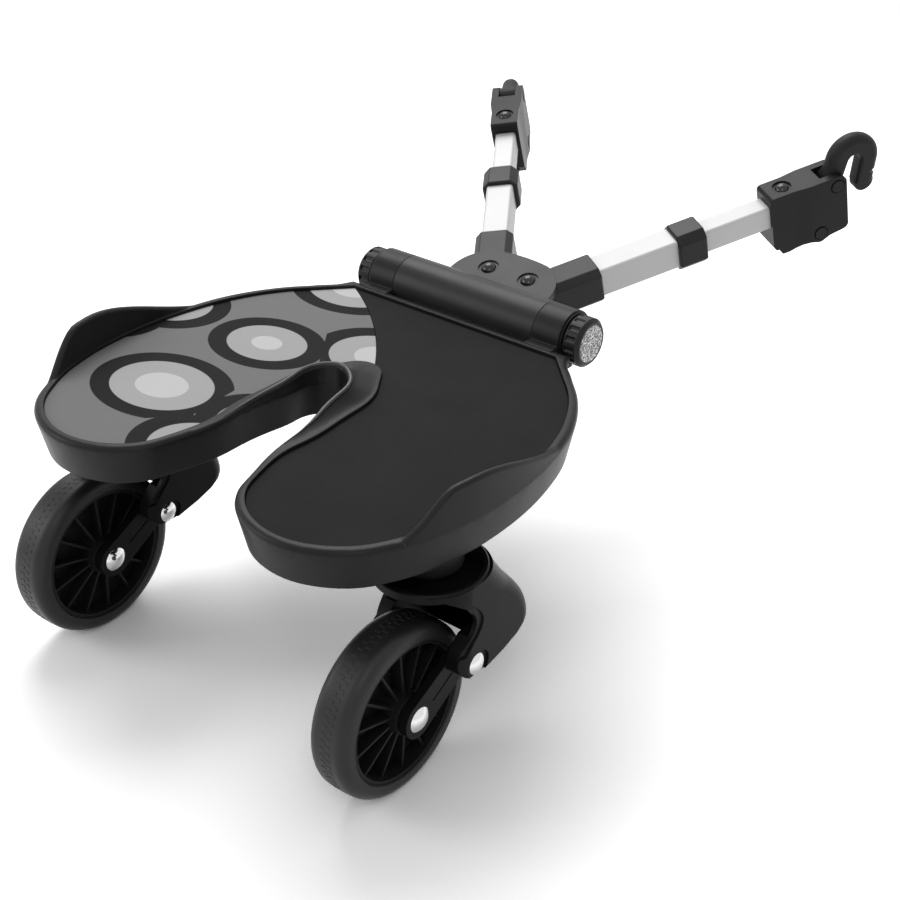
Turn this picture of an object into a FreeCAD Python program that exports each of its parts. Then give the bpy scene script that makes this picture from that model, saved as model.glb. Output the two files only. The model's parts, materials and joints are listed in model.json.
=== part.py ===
import FreeCAD, Part
import os
from math import atan2, cos, pi, radians, sin, sqrt, tan

Vec = FreeCAD.Vector

# Layout, in millimetres: +X right, +Y forward to the pushchair, +Z up from the floor
AXLE_Y = -250.9
TRACK_HALF = 142.8
SWIVEL_AHEAD = 42.0
PIVOT_AHEAD = 44.4
PIVOT_UP = 23.0

# Running and seating clearances
RUN_GAP = 0.05
SEAT_GAP = 0.05
FACE_GAP = 0.3
# How far fused pieces run into one another, and how far cutters run past a face
OVERLAP = 1.0
PAST = 5.0

# Wheel: rubber tyre on a ribbed rim, two flanged bushes, a headed axle
WHEEL_R = 62.5
TYRE_HALF_WIDTH = 15.5
TYRE_SHOULDER = 11.5
TYRE_SEAT_R = 50.0
TYRE_LIP = 1.0
RIM_THICKNESS = 2.4
RIM_HALF_WIDTH = 14.0
RIM_DRAFT = 1.0
WEB_HALF = 2.0
WEB_RIB_COUNT = 14
WEB_RIB_THICKNESS = 1.8
WEB_RIB_OUTSIDE = 10.0
WEB_RIB_SLOPE = 2.5
HUB_R = 14.0
HUB_DRAFT = 1.5
HUB_HALF = 17.5
BUSH_R = 9.0
BUSH_LENGTH = 11.0
BUSH_FLANGE_R = 11.5
BUSH_FLANGE = 1.2
AXLE_R = 5.0
AXLE_HEAD_R = 11.0
AXLE_HEAD_RISE = 2.4

# Swing arms that carry the axle, and the rivets that they pivot on
ARM_SIDE_GAP = 0.5
ARM_PLATE = 6.0
ARM_AXLE_EYE_R = 13.5
ARM_PIVOT_EYE_R = 11.5
ARM_GROOVE = 1.6
ARM_GROOVE_DEPTH = 0.8
ARM_GROOVE_SPAN = (0.3, 0.74)
RIVET_R = 4.0
RIVET_HEAD_R = 7.8
RIVET_HEAD_RISE = 2.9
RIVET_RECESS_R = 10.4
RIVET_RECESS = 1.6
TORSION_POCKET_R = 11.0
TORSION_POCKET = 6.4
TORSION_MEAN_R = 8.2
TORSION_WIRE_R = 0.8
TORSION_PITCH = 2.1
TORSION_HALF_TURNS = 4

# Caster hood: a hollow fork that narrows from the dish to two legs
LEG_GAP = 0.8
LEG = 12.2
HOOD_WALL = 4.5
HOOD_CORNER = 12.0
HOOD_TOP_CORNER = 33.0
HOOD_SHOULDER_UP = 45.0
HOOD_BORDER = 5.5
HOOD_BORDER_DEPTH = 1.2
HOOD_BORDER_SPAN = (35.0, 78.0)
DRUM_OVER = 0.3
TYRE_HEADROOM = 12.0
HOOD_ROOF = 9.0
DISH_R = 38.0
DISH_DEPTH = 5.0
DISH_LIP = 3.0
DISH_EDGE = 6.5
DISH_BEVEL = 14.0
DISH_ROUND = 1.0
STEM_HUB_R = 14.0
STEM_HUB_RISE = 5.2
# Height over the axle, rear edge and front edge of the hood's level sections
HOOD_SECTIONS = [
    (15.5, 38.0, 58.0), (21.0, 29.8, 88.0), (28.0, 26.3, 102.0), (34.0, 26.8, 103.5), (40.0, 30.5, 102.5),
    (47.0, 38.0, 100.0), (54.0, 43.0, 97.0), (60.0, 42.8, 93.5), (67.0, 38.5, 89.0), (74.0, 31.0, 84.5),
    (81.0, 21.0, 81.0), (86.5, 11.0, 80.0),
]
HOOD_LEVELS = 18

# Swivel stem, its flanged bush in the deck and its retaining ring
STEM_R = 6.0
STEM_OVER_RING = 2.4
STEM_BUSH_R = 9.0
STEM_BUSH_LENGTH = 30.0
STEM_BUSH_FLANGE_R = 14.0
STEM_BUSH_FLANGE = 1.5
RETAINER = 1.2
RETAINER_R = 9.0
RETAINER_GROOVE = 0.8
RETAINER_MOUTH = 7.0
RETAINER_ROOM = 1.5

# Deck: a tapered skirt, a rounded rim and a floor that holds the mats
BOSS_DROP = 15.0
BOSS_R = 22.0
SKIRT = 26.0
SKIRT_TAPER = 5.5
SKIRT_WALL = 4.0
RIM_ROUND = 4.0
RIM_ROUND_STEPS = 3
FLOOR = 4.0
MAT = 2.0
MAT_GAP = 0.3
RIM_OVER_MAT = 2.5
RIB = 2.6
RIB_SETBACK = 3.0
RIB_PITCH_X = 44.0
RIB_PITCH_Y = 52.0
# Right half of the rim's outer edge: front corner, the end of a straight, side, lobe, notch
RIM_EDGE = [
    (103.0, 252.0), (107.0, 244.0), (121.0, 228.5), (140.0, 208.0), (160.0, 176.0), (174.5, 128.0),
    (179.0, 78.0), (176.0, 40.0), (164.5, 0.0), (141.0, -34.0), (91.0, -51.0), (49.0, -33.0),
    (30.5, 8.0), (20.5, 80.0), (10.0, 115.0), (0.0, 119.0),
]
# Right half of the mats' edge, at the same stations
MAT_EDGE = [
    (95.5, 244.5), (101.0, 239.0), (116.0, 224.0), (134.5, 204.5), (153.5, 173.0), (168.0, 126.0),
    (172.6, 78.0), (170.0, 41.5), (158.5, 2.5), (136.5, -29.0), (91.0, -45.0), (53.0, -28.0),
    (36.0, 12.0), (36.0, 70.0), (25.5, 131.0), (0.0, 155.0),
]
# The seam between the two mats: front left corner, a middle point, the notch
MAT_SEAM = [(-97.0, 246.0), (-27.0, 190.0), (4.0, 152.0)]
# Coaming: a lip round the notch that ramps down to the mats and rises towards the notch's end
NOTCH_STATION = 12
COAMING_LOW = 2.3
COAMING_HIGH = 14.5
COAMING_POWER = 1.8
COAMING_WALL_INSET = 0.6
COAMING_ROUND = 2.4
COAMING_SAG = 0.33
COAMING_DIP = 0.1
# Side lips: thin round-topped walls that rise steeply at the rear and fade out to the front
LIP_STATIONS = (4, 9)
LIP_HALF = 2.8
LIP_INSET = 0.4
LIP_RISE = 28.5
LIP_START = -12.0
LIP_CREST = (34.0, 45.0)
LIP_END = 162.0
LIP_LEAST = 0.2
STATIONS_PER_ARC = 4

# Hinge across the front: deck lugs, turning sleeve, rod, washers, clamp knobs
HINGE_Y = 275.6
HINGE_OVER_MAT = 2.8
HINGE_R = 20.9
SLEEVE_HALF = 65.5
SLEEVE_BORE_R = 15.0
SLEEVE_END = 8.0
SLEEVE_GAP = 0.4
LUG_END = 89.5
LUG_BLOCK_TOP = 0.8
LUG_BLOCK_DROP = 24.0
ROD_R = 6.0
ROD_INTO_KNOB = 8.0
WASHER = 1.6
WASHER_R = 19.6
KNOB_R = 18.6
KNOB_END = 105.3
KNOB_CHAMFER = 2.6
KNOB_FLUTES = 14
KNOB_FLUTE_R = 2.6
KNOB_FLUTE_DEPTH = 1.3
KNOB_FLUTE_ENDS = (2.0, 3.4)
KNOB_FOOT_CHAMFER = 1.2
REFLECTOR_R = 14.1
REFLECTOR = 2.0

# Arm bracket: sleeve with an upper and a lower fan plate, tilted upwards
TILT = 16.2
ARM_PIVOT_X = 18.9
ARM_PIVOT_V = 41.6
PLATE = 5.2
PLATE_SIDE = 48.0
PLATE_BACK_V = 12.0
PLATE_SHOULDER = (46.5, 34.0)
PLATE_CORNER = (40.3, 49.5)
PLATE_NOSE = (24.0, 61.5)
PLATE_FRONT_V = 63.6
BRACKET_WEB_V = 26.0
PIVOT_SCREW_R = 4.0
PIVOT_HEAD_R = 6.0
PIVOT_HEAD_RISE = 4.0
PIVOT_RECESS_R = 8.2
PIVOT_RECESS = 1.2

# Arms: splayed telescopic box tubes, coordinates along the arm from its pivot
SPLAY = 32.5
ROOT_HALF = 15.5
ROOT_HEIGHT = 32.2
ROOT_CHAMFER = 5.0
BAR_ROUND = 2.5
ROOT_END = 55.0
OUTER_START = 27.0
OUTER_WIDTH = 22.0
OUTER_HEIGHT = 25.4
OUTER_WALL = 2.0
TUBE_ROUND = 2.5
SLIDE_GAP = 0.3
INNER_WALL = 1.8
INNER_START = 95.0
COLLAR_START = 121.0
COLLAR_END = 145.0
COLLAR_LIP = 6.0
COLLAR_HALF = 15.0
COLLAR_HEIGHT = 32.4
COLLAR_CHAMFER = 6.0

# Hook block on the inner tube's end
BLOCK_START = 201.5
BLOCK_END = 268.5
BLOCK_TOP = -2.0
BLOCK_BOTTOM = -58.3
BLOCK_HALF_REAR = 11.8
BLOCK_HALF_FRONT = 13.6
BLOCK_FLARE = (222.0, 236.0)
TUBE_IN_BLOCK = 20.5
BLOCK_SCREW_S = 217.6
BLOCK_SCREW_R = 2.5
BLOCK_SCREW_HEAD_R = 5.6
BLOCK_SCREW_RISE = 3.4
BLOCK_SCREW_RECESS_R = 7.5
BLOCK_SCREW_RECESS = 1.4
# Corners of the block's side view, from the top rear forward and round, each with its rounding
BLOCK_CORNERS = [
    (BLOCK_START, BLOCK_TOP, 3.5), (BLOCK_END - 1.3, BLOCK_TOP, 7.0), (BLOCK_END, BLOCK_BOTTOM + 5.0, 5.0),
    (BLOCK_END - 16.5, BLOCK_BOTTOM + 3.0, 4.0), (BLOCK_END - 24.7, BLOCK_BOTTOM - 0.7, 6.0),
    (BLOCK_END - 33.0, BLOCK_BOTTOM + 2.2, 4.0), (BLOCK_START + 26.5, BLOCK_BOTTOM + 2.4, 3.0),
    (BLOCK_START + 15.0, BLOCK_BOTTOM, 3.0), (BLOCK_START + 9.0, BLOCK_BOTTOM + 0.2, 2.0),
    (BLOCK_START + 5.3, BLOCK_BOTTOM + 6.8, 2.5), (BLOCK_START + 1.5, BLOCK_BOTTOM + 8.8, 1.5),
]
HOOK_SLOT_S = 247.0
HOOK_SLOT_SILL = 1.5
HOOK_EYE_ROOM = 2.4
HOOK_PIN = (259.5, -10.8)
HOOK_PIN_R = 3.0
PIN_HEAD_R = 5.2
PIN_HEAD = 1.8
PIN_RING = 0.9
PIN_PROUD = 0.5
LATCH_PIN = (243.8, -50.0)
LATCH_PIN_R = 2.6
LATCH_SLOT = (206.0, 266.0)
LATCH_SLOT_ROOF = -40.0
LATCH_HALF = 5.6
LATCH_NOSE = (262.4, -52.5)
LATCH_NOSE_R = 1.4
LATCH_CATCH_R = 2.0
LATCH_PAD = (210.0, -55.0)
LATCH_PAD_R = 3.0
LATCH_EYE_R = 4.2
LATCH_SPRING_S = 222.0
LATCH_SPRING_MEAN_R = 3.2
LATCH_SPRING_WIRE_R = 0.45
LATCH_SPRING_HALF_TURNS = 8

# Hook: a flattened bar, straight out of its eye, round over the top, down to the tip
HOOK_THICK = 16.4
HOOK_HALF = 7.0
HOOK_SIDE_GAP = 0.35
HOOK_LEAN = 69.0
HOOK_SHUT_LEAN = -10.0
HOOK_PATH_GAP = 0.6
HOOK_RISE = 17.5
HOOK_BEND_R = 14.0
HOOK_TIP_LEAN = -102.5
HOOK_LEG = 21.0
HOOK_INNER_ROUND = 3.0
HOOK_OUTER_ROUND = 6.4
HOOK_EYE_R = 8.3
HOOK_NICK_AT = 11.0
HOOK_NICK = 3.2
HOOK_NICK_HALF = 3.0

# Heights that follow from the wheel upwards
AXLE_Z = WHEEL_R
ROOF_Z = 2 * WHEEL_R + TYRE_HEADROOM
DISH_FLOOR_Z = ROOF_Z + HOOD_ROOF
HUB_TOP_Z = DISH_FLOOR_Z + STEM_HUB_RISE
BOSS_BOTTOM_Z = HUB_TOP_Z + FACE_GAP + STEM_BUSH_FLANGE
DECK_BOTTOM_Z = BOSS_BOTTOM_Z + BOSS_DROP
RIM_SIDE_Z = DECK_BOTTOM_Z + SKIRT
RIM_TOP_Z = RIM_SIDE_Z + RIM_ROUND
MAT_TOP_Z = RIM_TOP_Z - RIM_OVER_MAT
FLOOR_Z = MAT_TOP_Z - MAT
CEILING_Z = FLOOR_Z - FLOOR
BUSH_TOP_Z = BOSS_BOTTOM_Z + STEM_BUSH_LENGTH
HINGE_Z = MAT_TOP_Z + HINGE_OVER_MAT

# Sideways stations of the caster, measured from the wheel's middle plane
ARM_IN = HUB_HALF + BUSH_FLANGE + ARM_SIDE_GAP
ARM_OUT = ARM_IN + ARM_PLATE
LEG_IN = ARM_OUT + LEG_GAP
LEG_OUT = LEG_IN + LEG

# Sections and stations of the arm that follow from the ones above
INNER_WIDTH = OUTER_WIDTH - 2 * OUTER_WALL - 2 * SLIDE_GAP
INNER_HEIGHT = OUTER_HEIGHT - 2 * OUTER_WALL - 2 * SLIDE_GAP
ARM_MID = -PLATE - FACE_GAP - ROOT_HEIGHT / 2
LOWER_PLATE_TOP = ARM_MID - ROOT_HEIGHT / 2 - FACE_GAP
LOWER_PLATE_BOTTOM = LOWER_PLATE_TOP - PLATE
KNOB_START = LUG_END + WASHER + FACE_GAP

X_AXIS = Vec(1, 0, 0)
Y_AXIS = Vec(0, 1, 0)
Z_AXIS = Vec(0, 0, 1)


# Small drawing helpers

def line(a, b):
    return Part.LineSegment(a, b).toShape()


def arc(a, through, b):
    return Part.Arc(a, through, b).toShape()


def prism(edges, travel):
    return Part.Face(Part.Wire(edges)).extrude(travel)


def polygon(points):
    return Part.makePolygon(points + points[:1])


def polygon_prism(points, travel):
    return Part.Face(polygon(points)).extrude(travel)


def rod(radius, start, end):
    travel = end - start
    return Part.makeCylinder(radius, travel.Length, start, travel)


def turned(profile, axis_point, axis):
    return Part.Face(polygon(profile)).revolve(axis_point, axis, 360)


def rounded_prism(corners, travel):
    """A prism of a polygon whose corners, each a point and a radius, are rounded by tangent arcs."""
    points = [point for point, _ in corners]
    bends = []
    for before, (here, radius), after in zip(points[-1:] + points, corners, points[1:] + points[:1]):
        arrive = (here - before).normalize()
        leave = (after - here).normalize()
        half_turn = arrive.getAngle(leave) / 2
        reach = radius * tan(half_turn)
        inward = (leave - arrive).normalize() * (radius / cos(half_turn) - radius)
        bends.append((here - arrive * reach, here + inward, here + leave * reach))
    edges = []
    for bend, following in zip(bends, bends[1:] + bends[:1]):
        edges += [arc(*bend), line(bend[2], following[0])]
    return prism(edges, travel)


def fused(solids):
    return solids[0].multiFuse(solids[1:]).removeSplitter()


def mirrored(shape):
    return shape.mirror(Vec(0, 0, 0), X_AXIS)


def dome(radius, rise, base, axis):
    """A shallow domed head, standing on base and rising along axis."""
    ball_r = (radius * radius + rise * rise) / (2 * rise)
    centre = base - axis * (ball_r - rise)
    ball = Part.makeSphere(ball_r, centre)
    return ball.common(rod(radius, base, base + axis * (rise + 1)))


def coil(centre, axis, start, mean_r, wire_r, pitch, half_turns):
    """A wire spring of half-turn bends that meet tangentially, with its gap to itself printed."""
    side = axis.cross(start)
    bends = []
    path = []
    for step in range(half_turns):
        sign = 1 if step % 2 == 0 else -1
        low = centre + axis * (step * pitch / 2) + start * (mean_r * sign)
        high = centre + axis * ((step + 1) * pitch / 2) - start * (mean_r * sign)
        middle = (low + high) * 0.5
        ring = Part.Face(Part.Wire([Part.Circle(low, side * sign, wire_r).toShape()]))
        bends.append(ring.revolve(middle, (low - middle).cross(side * sign), 180))
        crest = middle + side * (sign * (high - low).Length / 2)
        path += arc(low, crest, high).discretize(24)
    apart = min((a - b).Length for i, a in enumerate(path) for b in path[i + 18:])
    print("coil gap to itself %.2f mm" % (apart - 2 * wire_r))
    return fused(bends)


# Wheel, in the right caster

def wheel_point(x, y=0.0, z=0.0):
    return Vec(TRACK_HALF + x, y, AXLE_Z + z)


def make_tyre():
    """A tyre with a flat crown, round shoulders and bevelled lips that reach over the rim."""
    crown = TYRE_HALF_WIDTH - TYRE_SHOULDER
    lip_r = TYRE_SEAT_R + TYRE_LIP
    drop = WHEEL_R - lip_r
    round_r = (TYRE_SHOULDER ** 2 + drop ** 2) / (2 * drop)
    turn = atan2(TYRE_SHOULDER, round_r - drop) / 2
    middle_x = crown + round_r * sin(turn)
    middle_r = WHEEL_R - round_r * (1 - cos(turn))

    def at(x, r):
        return wheel_point(x, 0, r)

    return Part.Face(Part.Wire([
        line(at(-RIM_HALF_WIDTH, TYRE_SEAT_R), at(RIM_HALF_WIDTH, TYRE_SEAT_R)),
        line(at(RIM_HALF_WIDTH, TYRE_SEAT_R), at(TYRE_HALF_WIDTH, lip_r)),
        arc(at(TYRE_HALF_WIDTH, lip_r), at(middle_x, middle_r), at(crown, WHEEL_R)),
        line(at(crown, WHEEL_R), at(-crown, WHEEL_R)),
        arc(at(-crown, WHEEL_R), at(-middle_x, middle_r), at(-TYRE_HALF_WIDTH, lip_r)),
        line(at(-TYRE_HALF_WIDTH, lip_r), at(-RIM_HALF_WIDTH, TYRE_SEAT_R)),
    ])).revolve(wheel_point(0), X_AXIS, 360)


def make_rim():
    outer_r = TYRE_SEAT_R - SEAT_GAP
    inner_r = outer_r - RIM_THICKNESS
    bore_r = BUSH_R + SEAT_GAP
    foot_r = HUB_R + HUB_DRAFT
    well_r = inner_r - RIM_DRAFT
    profile = [
        (-HUB_HALF, bore_r), (-HUB_HALF, HUB_R), (-WEB_HALF, foot_r), (-WEB_HALF, well_r),
        (-RIM_HALF_WIDTH, inner_r), (-RIM_HALF_WIDTH, outer_r), (RIM_HALF_WIDTH, outer_r),
        (RIM_HALF_WIDTH, inner_r), (WEB_HALF, well_r), (WEB_HALF, foot_r), (HUB_HALF, HUB_R),
        (HUB_HALF, bore_r),
    ]
    body = turned([wheel_point(x, 0, r) for x, r in profile], wheel_point(0), X_AXIS)
    at_hub = WEB_RIB_OUTSIDE + WEB_RIB_SLOPE
    side = -WEB_RIB_THICKNESS / 2
    rib = polygon_prism([
        wheel_point(-at_hub, side, HUB_R - OVERLAP), wheel_point(-WEB_RIB_OUTSIDE, side, inner_r + OVERLAP),
        wheel_point(WEB_RIB_OUTSIDE, side, inner_r + OVERLAP), wheel_point(at_hub, side, HUB_R - OVERLAP),
    ], Vec(0, WEB_RIB_THICKNESS, 0))
    ribs = []
    for index in range(WEB_RIB_COUNT):
        copy = rib.copy()
        copy.rotate(wheel_point(0), X_AXIS, 360.0 * index / WEB_RIB_COUNT)
        ribs.append(copy)
    return fused([body] + ribs)


def make_wheel_bushes():
    bushes = []
    for side in (-1, 1):
        face = wheel_point(side * HUB_HALF)
        flange = rod(BUSH_FLANGE_R, face, wheel_point(side * (HUB_HALF + BUSH_FLANGE)))
        sleeve = rod(BUSH_R, wheel_point(side * (HUB_HALF - BUSH_LENGTH)), face)
        bore = rod(AXLE_R + RUN_GAP, wheel_point(-side * OVERLAP), wheel_point(side * (HUB_HALF + PAST)))
        bushes.append(flange.fuse(sleeve).removeSplitter().cut(bore))
    return Part.makeCompound(bushes)


def make_axle():
    shank = rod(AXLE_R, wheel_point(-ARM_OUT), wheel_point(ARM_OUT))
    pieces = [shank]
    for side in (-1, 1):
        pieces.append(dome(AXLE_HEAD_R, AXLE_HEAD_RISE, wheel_point(side * ARM_OUT), X_AXIS * side))
    return fused(pieces)


# Swing arms, rivets and torsion springs

def make_swing_arms():
    reach = Vec(0, PIVOT_AHEAD, PIVOT_UP)
    across = X_AXIS.cross(reach).normalize()
    plates = []
    for side in (-1, 1):
        travel = X_AXIS * (side * ARM_PLATE)
        near = wheel_point(side * ARM_IN)
        far = near + reach
        bar = polygon_prism([
            near + across * ARM_AXLE_EYE_R, far + across * ARM_PIVOT_EYE_R,
            far - across * ARM_PIVOT_EYE_R, near - across * ARM_AXLE_EYE_R,
        ], travel)
        eyes = [rod(ARM_AXLE_EYE_R, near, near + travel), rod(ARM_PIVOT_EYE_R, far, far + travel)]
        plate = fused([bar] + eyes)
        floor = near + X_AXIS * (side * (ARM_PLATE - ARM_GROOVE_DEPTH))
        first, last = [floor + reach * share for share in ARM_GROOVE_SPAN]
        half = across * (ARM_GROOVE / 2)
        plate = plate.cut(polygon_prism([first + half, last + half, last - half, first - half], travel))
        plate = plate.cut(rod(AXLE_R + SEAT_GAP, near - travel, near + travel * 2))
        plates.append(plate.cut(rod(RIVET_R + RUN_GAP, far - travel, far + travel * 2)))
    return Part.makeCompound(plates)


def make_pivot_rivets():
    rivets = []
    for side in (-1, 1):
        inside = wheel_point(side * ARM_IN, PIVOT_AHEAD, PIVOT_UP)
        seat = wheel_point(side * (LEG_OUT - RIVET_RECESS), PIVOT_AHEAD, PIVOT_UP)
        head = dome(RIVET_HEAD_R, RIVET_HEAD_RISE, seat, X_AXIS * side)
        rivets.append(rod(RIVET_R, inside, seat).fuse(head))
    return Part.makeCompound(rivets)


def make_suspension_springs():
    coils = []
    length = TORSION_HALF_TURNS * TORSION_PITCH / 2 + 2 * TORSION_WIRE_R
    for side in (-1, 1):
        depth = LEG_IN + (TORSION_POCKET - length) / 2 + TORSION_WIRE_R
        centre = wheel_point(side * depth, PIVOT_AHEAD, PIVOT_UP)
        coils.append(coil(centre, X_AXIS * side, Z_AXIS, TORSION_MEAN_R, TORSION_WIRE_R,
                          TORSION_PITCH, TORSION_HALF_TURNS))
    return Part.makeCompound(coils)


# Caster hood, stem, bush and retaining ring

def hood_section(height, rear, front, half, corner):
    """A level section of the hood: straight sides and rear, two round front corners."""
    z = height
    round_r = min(corner, (front - rear) * 0.48)
    middle = round_r * (1 - cos(pi / 4))
    p = [
        wheel_point(-half, rear, z), wheel_point(-half, front - round_r, z),
        wheel_point(round_r - half, front, z), wheel_point(half - round_r, front, z),
        wheel_point(half, front - round_r, z), wheel_point(half, rear, z),
    ]
    return Part.Wire([
        line(p[0], p[1]), arc(p[1], wheel_point(middle - half, front - middle, z), p[2]), line(p[2], p[3]),
        arc(p[3], wheel_point(half - middle, front - middle, z), p[4]), line(p[4], p[5]), line(p[5], p[0]),
    ])


def hood_levels():
    """Height, rear and front of evenly spaced level sections, on smooth curves through the given ones."""
    heights = [z for z, _, _ in HOOD_SECTIONS]
    rear, front = Part.BSplineCurve(), Part.BSplineCurve()
    rear.interpolate(Points=[Vec(0, r, z) for z, r, _ in HOOD_SECTIONS], Parameters=heights)
    front.interpolate(Points=[Vec(0, f, z) for z, _, f in HOOD_SECTIONS], Parameters=heights)
    step = (heights[-1] - heights[0]) / HOOD_LEVELS
    levels = [heights[0] + step * index for index in range(HOOD_LEVELS + 1)]
    return [(z, rear.value(z).y, front.value(z).y) for z in levels]


def hood_corner(height):
    """The radius of the hood's front corners, which grows from the shoulder up to the dish."""
    share = (height - HOOD_SHOULDER_UP) / (HOOD_SECTIONS[-1][0] - HOOD_SHOULDER_UP)
    return HOOD_CORNER + (HOOD_TOP_CORNER - HOOD_CORNER) * eased(share)


def by_swivel(radius):
    """The room of a drum about the swivel, open to the front."""
    swivel = Vec(TRACK_HALF, SWIVEL_AHEAD, 0)
    drum = rod(radius, swivel, swivel + Z_AXIS * HUB_TOP_Z)
    return drum.fuse(Part.makeBox(2 * radius, 2 * WHEEL_R, HUB_TOP_Z, swivel - X_AXIS * radius))


def hood_border(levels):
    """The cutter of a shallow step along the rear edge of the hood's outer walls."""
    low, high = HOOD_BORDER_SPAN
    far = 2 * LEG_OUT
    strips = []
    for z, rear, _ in levels:
        if low < z < high:
            back, fore = rear - PAST, rear + HOOD_BORDER
            strips.append(polygon([
                wheel_point(-far, back, z), wheel_point(-far, fore, z), wheel_point(far, fore, z),
                wheel_point(far, back, z),
            ]))
    return Part.makeLoft(strips, True, True).cut(by_swivel(LEG_OUT - HOOD_BORDER_DEPTH))


def make_dish():
    """The turned top of the hood: a plate with a raised edge and the hub that holds the stem."""
    swivel = Vec(TRACK_HALF, SWIVEL_AHEAD, 0)
    lip_z = DISH_FLOOR_Z + DISH_DEPTH

    def at(r, z):
        return swivel + Vec(0, r, z)

    plate = turned([
        at(0, ROOF_Z), at(DISH_R - DISH_BEVEL, ROOF_Z), at(DISH_R, lip_z - DISH_EDGE),
        at(DISH_R, lip_z - DISH_ROUND), at(DISH_R - DISH_ROUND, lip_z), at(0, lip_z),
    ], swivel, Z_AXIS)
    over = HUB_TOP_Z + PAST
    trough = turned([
        at(STEM_HUB_R, DISH_FLOOR_Z), at(DISH_R - 2 * DISH_LIP, DISH_FLOOR_Z), at(DISH_R - DISH_LIP, lip_z),
        at(DISH_R - DISH_LIP, over), at(STEM_HUB_R, over),
    ], swivel, Z_AXIS)
    return plate, rod(STEM_HUB_R, at(0, ROOF_Z), at(0, HUB_TOP_Z)), trough


def make_hood():
    levels = hood_levels()
    outer = Part.makeLoft([hood_section(z, r, f, LEG_OUT, hood_corner(z)) for z, r, f in levels], True, True)
    outer = outer.common(by_swivel(LEG_OUT + DRUM_OVER))
    lift = ROOF_Z - AXLE_Z
    below = [(levels[0][0] - OVERLAP, levels[0][2])]
    rising = [(z, f) for z, _, f in levels if z < lift]
    top = [(lift, rising[-1][1] - HOOD_WALL)]

    def hollow(half, sections):
        wires = []
        for z, f in sections:
            wires.append(hood_section(z, -WHEEL_R, f - HOOD_WALL, half, hood_corner(z) - HOOD_WALL))
        return Part.makeLoft(wires, True, True)

    wide_half = LEG_OUT - HOOD_WALL
    shoulder = [(z, f) for z, f in rising if z > HOOD_SHOULDER_UP]
    wide = hollow(wide_half, shoulder + top).common(by_swivel(wide_half + DRUM_OVER))
    plate, hub, trough = make_dish()
    body = fused([outer, plate, hub]).cut(trough)
    body = body.cut(hollow(LEG_IN, below + rising + top)).cut(wide).cut(hood_border(levels))
    sweep_r = WHEEL_R + TYRE_HEADROOM - OVERLAP
    body = body.cut(rod(sweep_r, wheel_point(-LEG_IN), wheel_point(LEG_IN)))
    swivel = Vec(TRACK_HALF, SWIVEL_AHEAD, 0)
    bore_low = swivel + Z_AXIS * (ROOF_Z - PAST)
    body = body.cut(rod(STEM_R + SEAT_GAP, bore_low, swivel + Z_AXIS * (HUB_TOP_Z + PAST)))
    for side in (-1, 1):
        inside = wheel_point(side * LEG_IN, PIVOT_AHEAD, PIVOT_UP)
        outward = X_AXIS * side
        past = inside + outward * (LEG + PAST)
        body = body.cut(rod(RIVET_R + SEAT_GAP, inside - outward, past))
        body = body.cut(rod(TORSION_POCKET_R, inside - outward, inside + outward * TORSION_POCKET))
        body = body.cut(rod(RIVET_RECESS_R, inside + outward * (LEG - RIVET_RECESS), past))
    return body


def make_stem():
    swivel = Vec(TRACK_HALF, SWIVEL_AHEAD, 0)
    groove_low = BUSH_TOP_Z + FACE_GAP
    groove_high = groove_low + RETAINER
    stem = rod(STEM_R, swivel + Vec(0, 0, ROOF_Z), swivel + Vec(0, 0, groove_high + STEM_OVER_RING))
    groove = rod(STEM_R + PAST, swivel + Vec(0, 0, groove_low), swivel + Vec(0, 0, groove_high))
    groove = groove.cut(rod(STEM_R - RETAINER_GROOVE, swivel, swivel + Vec(0, 0, groove_high + PAST)))
    return stem.cut(groove)


def make_stem_bush():
    swivel = Vec(TRACK_HALF, SWIVEL_AHEAD, 0)
    low = BOSS_BOTTOM_Z - STEM_BUSH_FLANGE
    sleeve = rod(STEM_BUSH_R, swivel + Vec(0, 0, low), swivel + Vec(0, 0, BUSH_TOP_Z))
    flange = rod(STEM_BUSH_FLANGE_R, swivel + Vec(0, 0, low), swivel + Vec(0, 0, BOSS_BOTTOM_Z))
    bore = rod(STEM_R + RUN_GAP, swivel, swivel + Vec(0, 0, BUSH_TOP_Z + PAST))
    return sleeve.fuse(flange).removeSplitter().cut(bore)


def make_retainer():
    swivel = Vec(TRACK_HALF, SWIVEL_AHEAD, BUSH_TOP_Z + FACE_GAP)
    ring = rod(RETAINER_R, swivel, swivel + Z_AXIS * RETAINER)
    ring = ring.cut(rod(STEM_R - RETAINER_GROOVE + SEAT_GAP, swivel - Z_AXIS * PAST, swivel + Z_AXIS * PAST))
    corner = swivel + Vec(-RETAINER_MOUTH / 2, 0, -PAST)
    return ring.cut(Part.makeBox(RETAINER_MOUTH, 2 * RETAINER_R, 2 * PAST, corner))


# Deck and mats

def heading_arc(start, heading, end):
    """The arc that leaves start along heading and reaches end, or a line where that is straight."""
    chord = end - start
    turn = atan2(heading.cross(chord).z, heading.dot(chord))
    if abs(turn) < 1e-5:
        return line(start, end)
    left = Vec(-chord.y, chord.x, 0)
    return arc(start, (start + end) * 0.5 - left * (tan(turn / 2) / 2), end)


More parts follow.
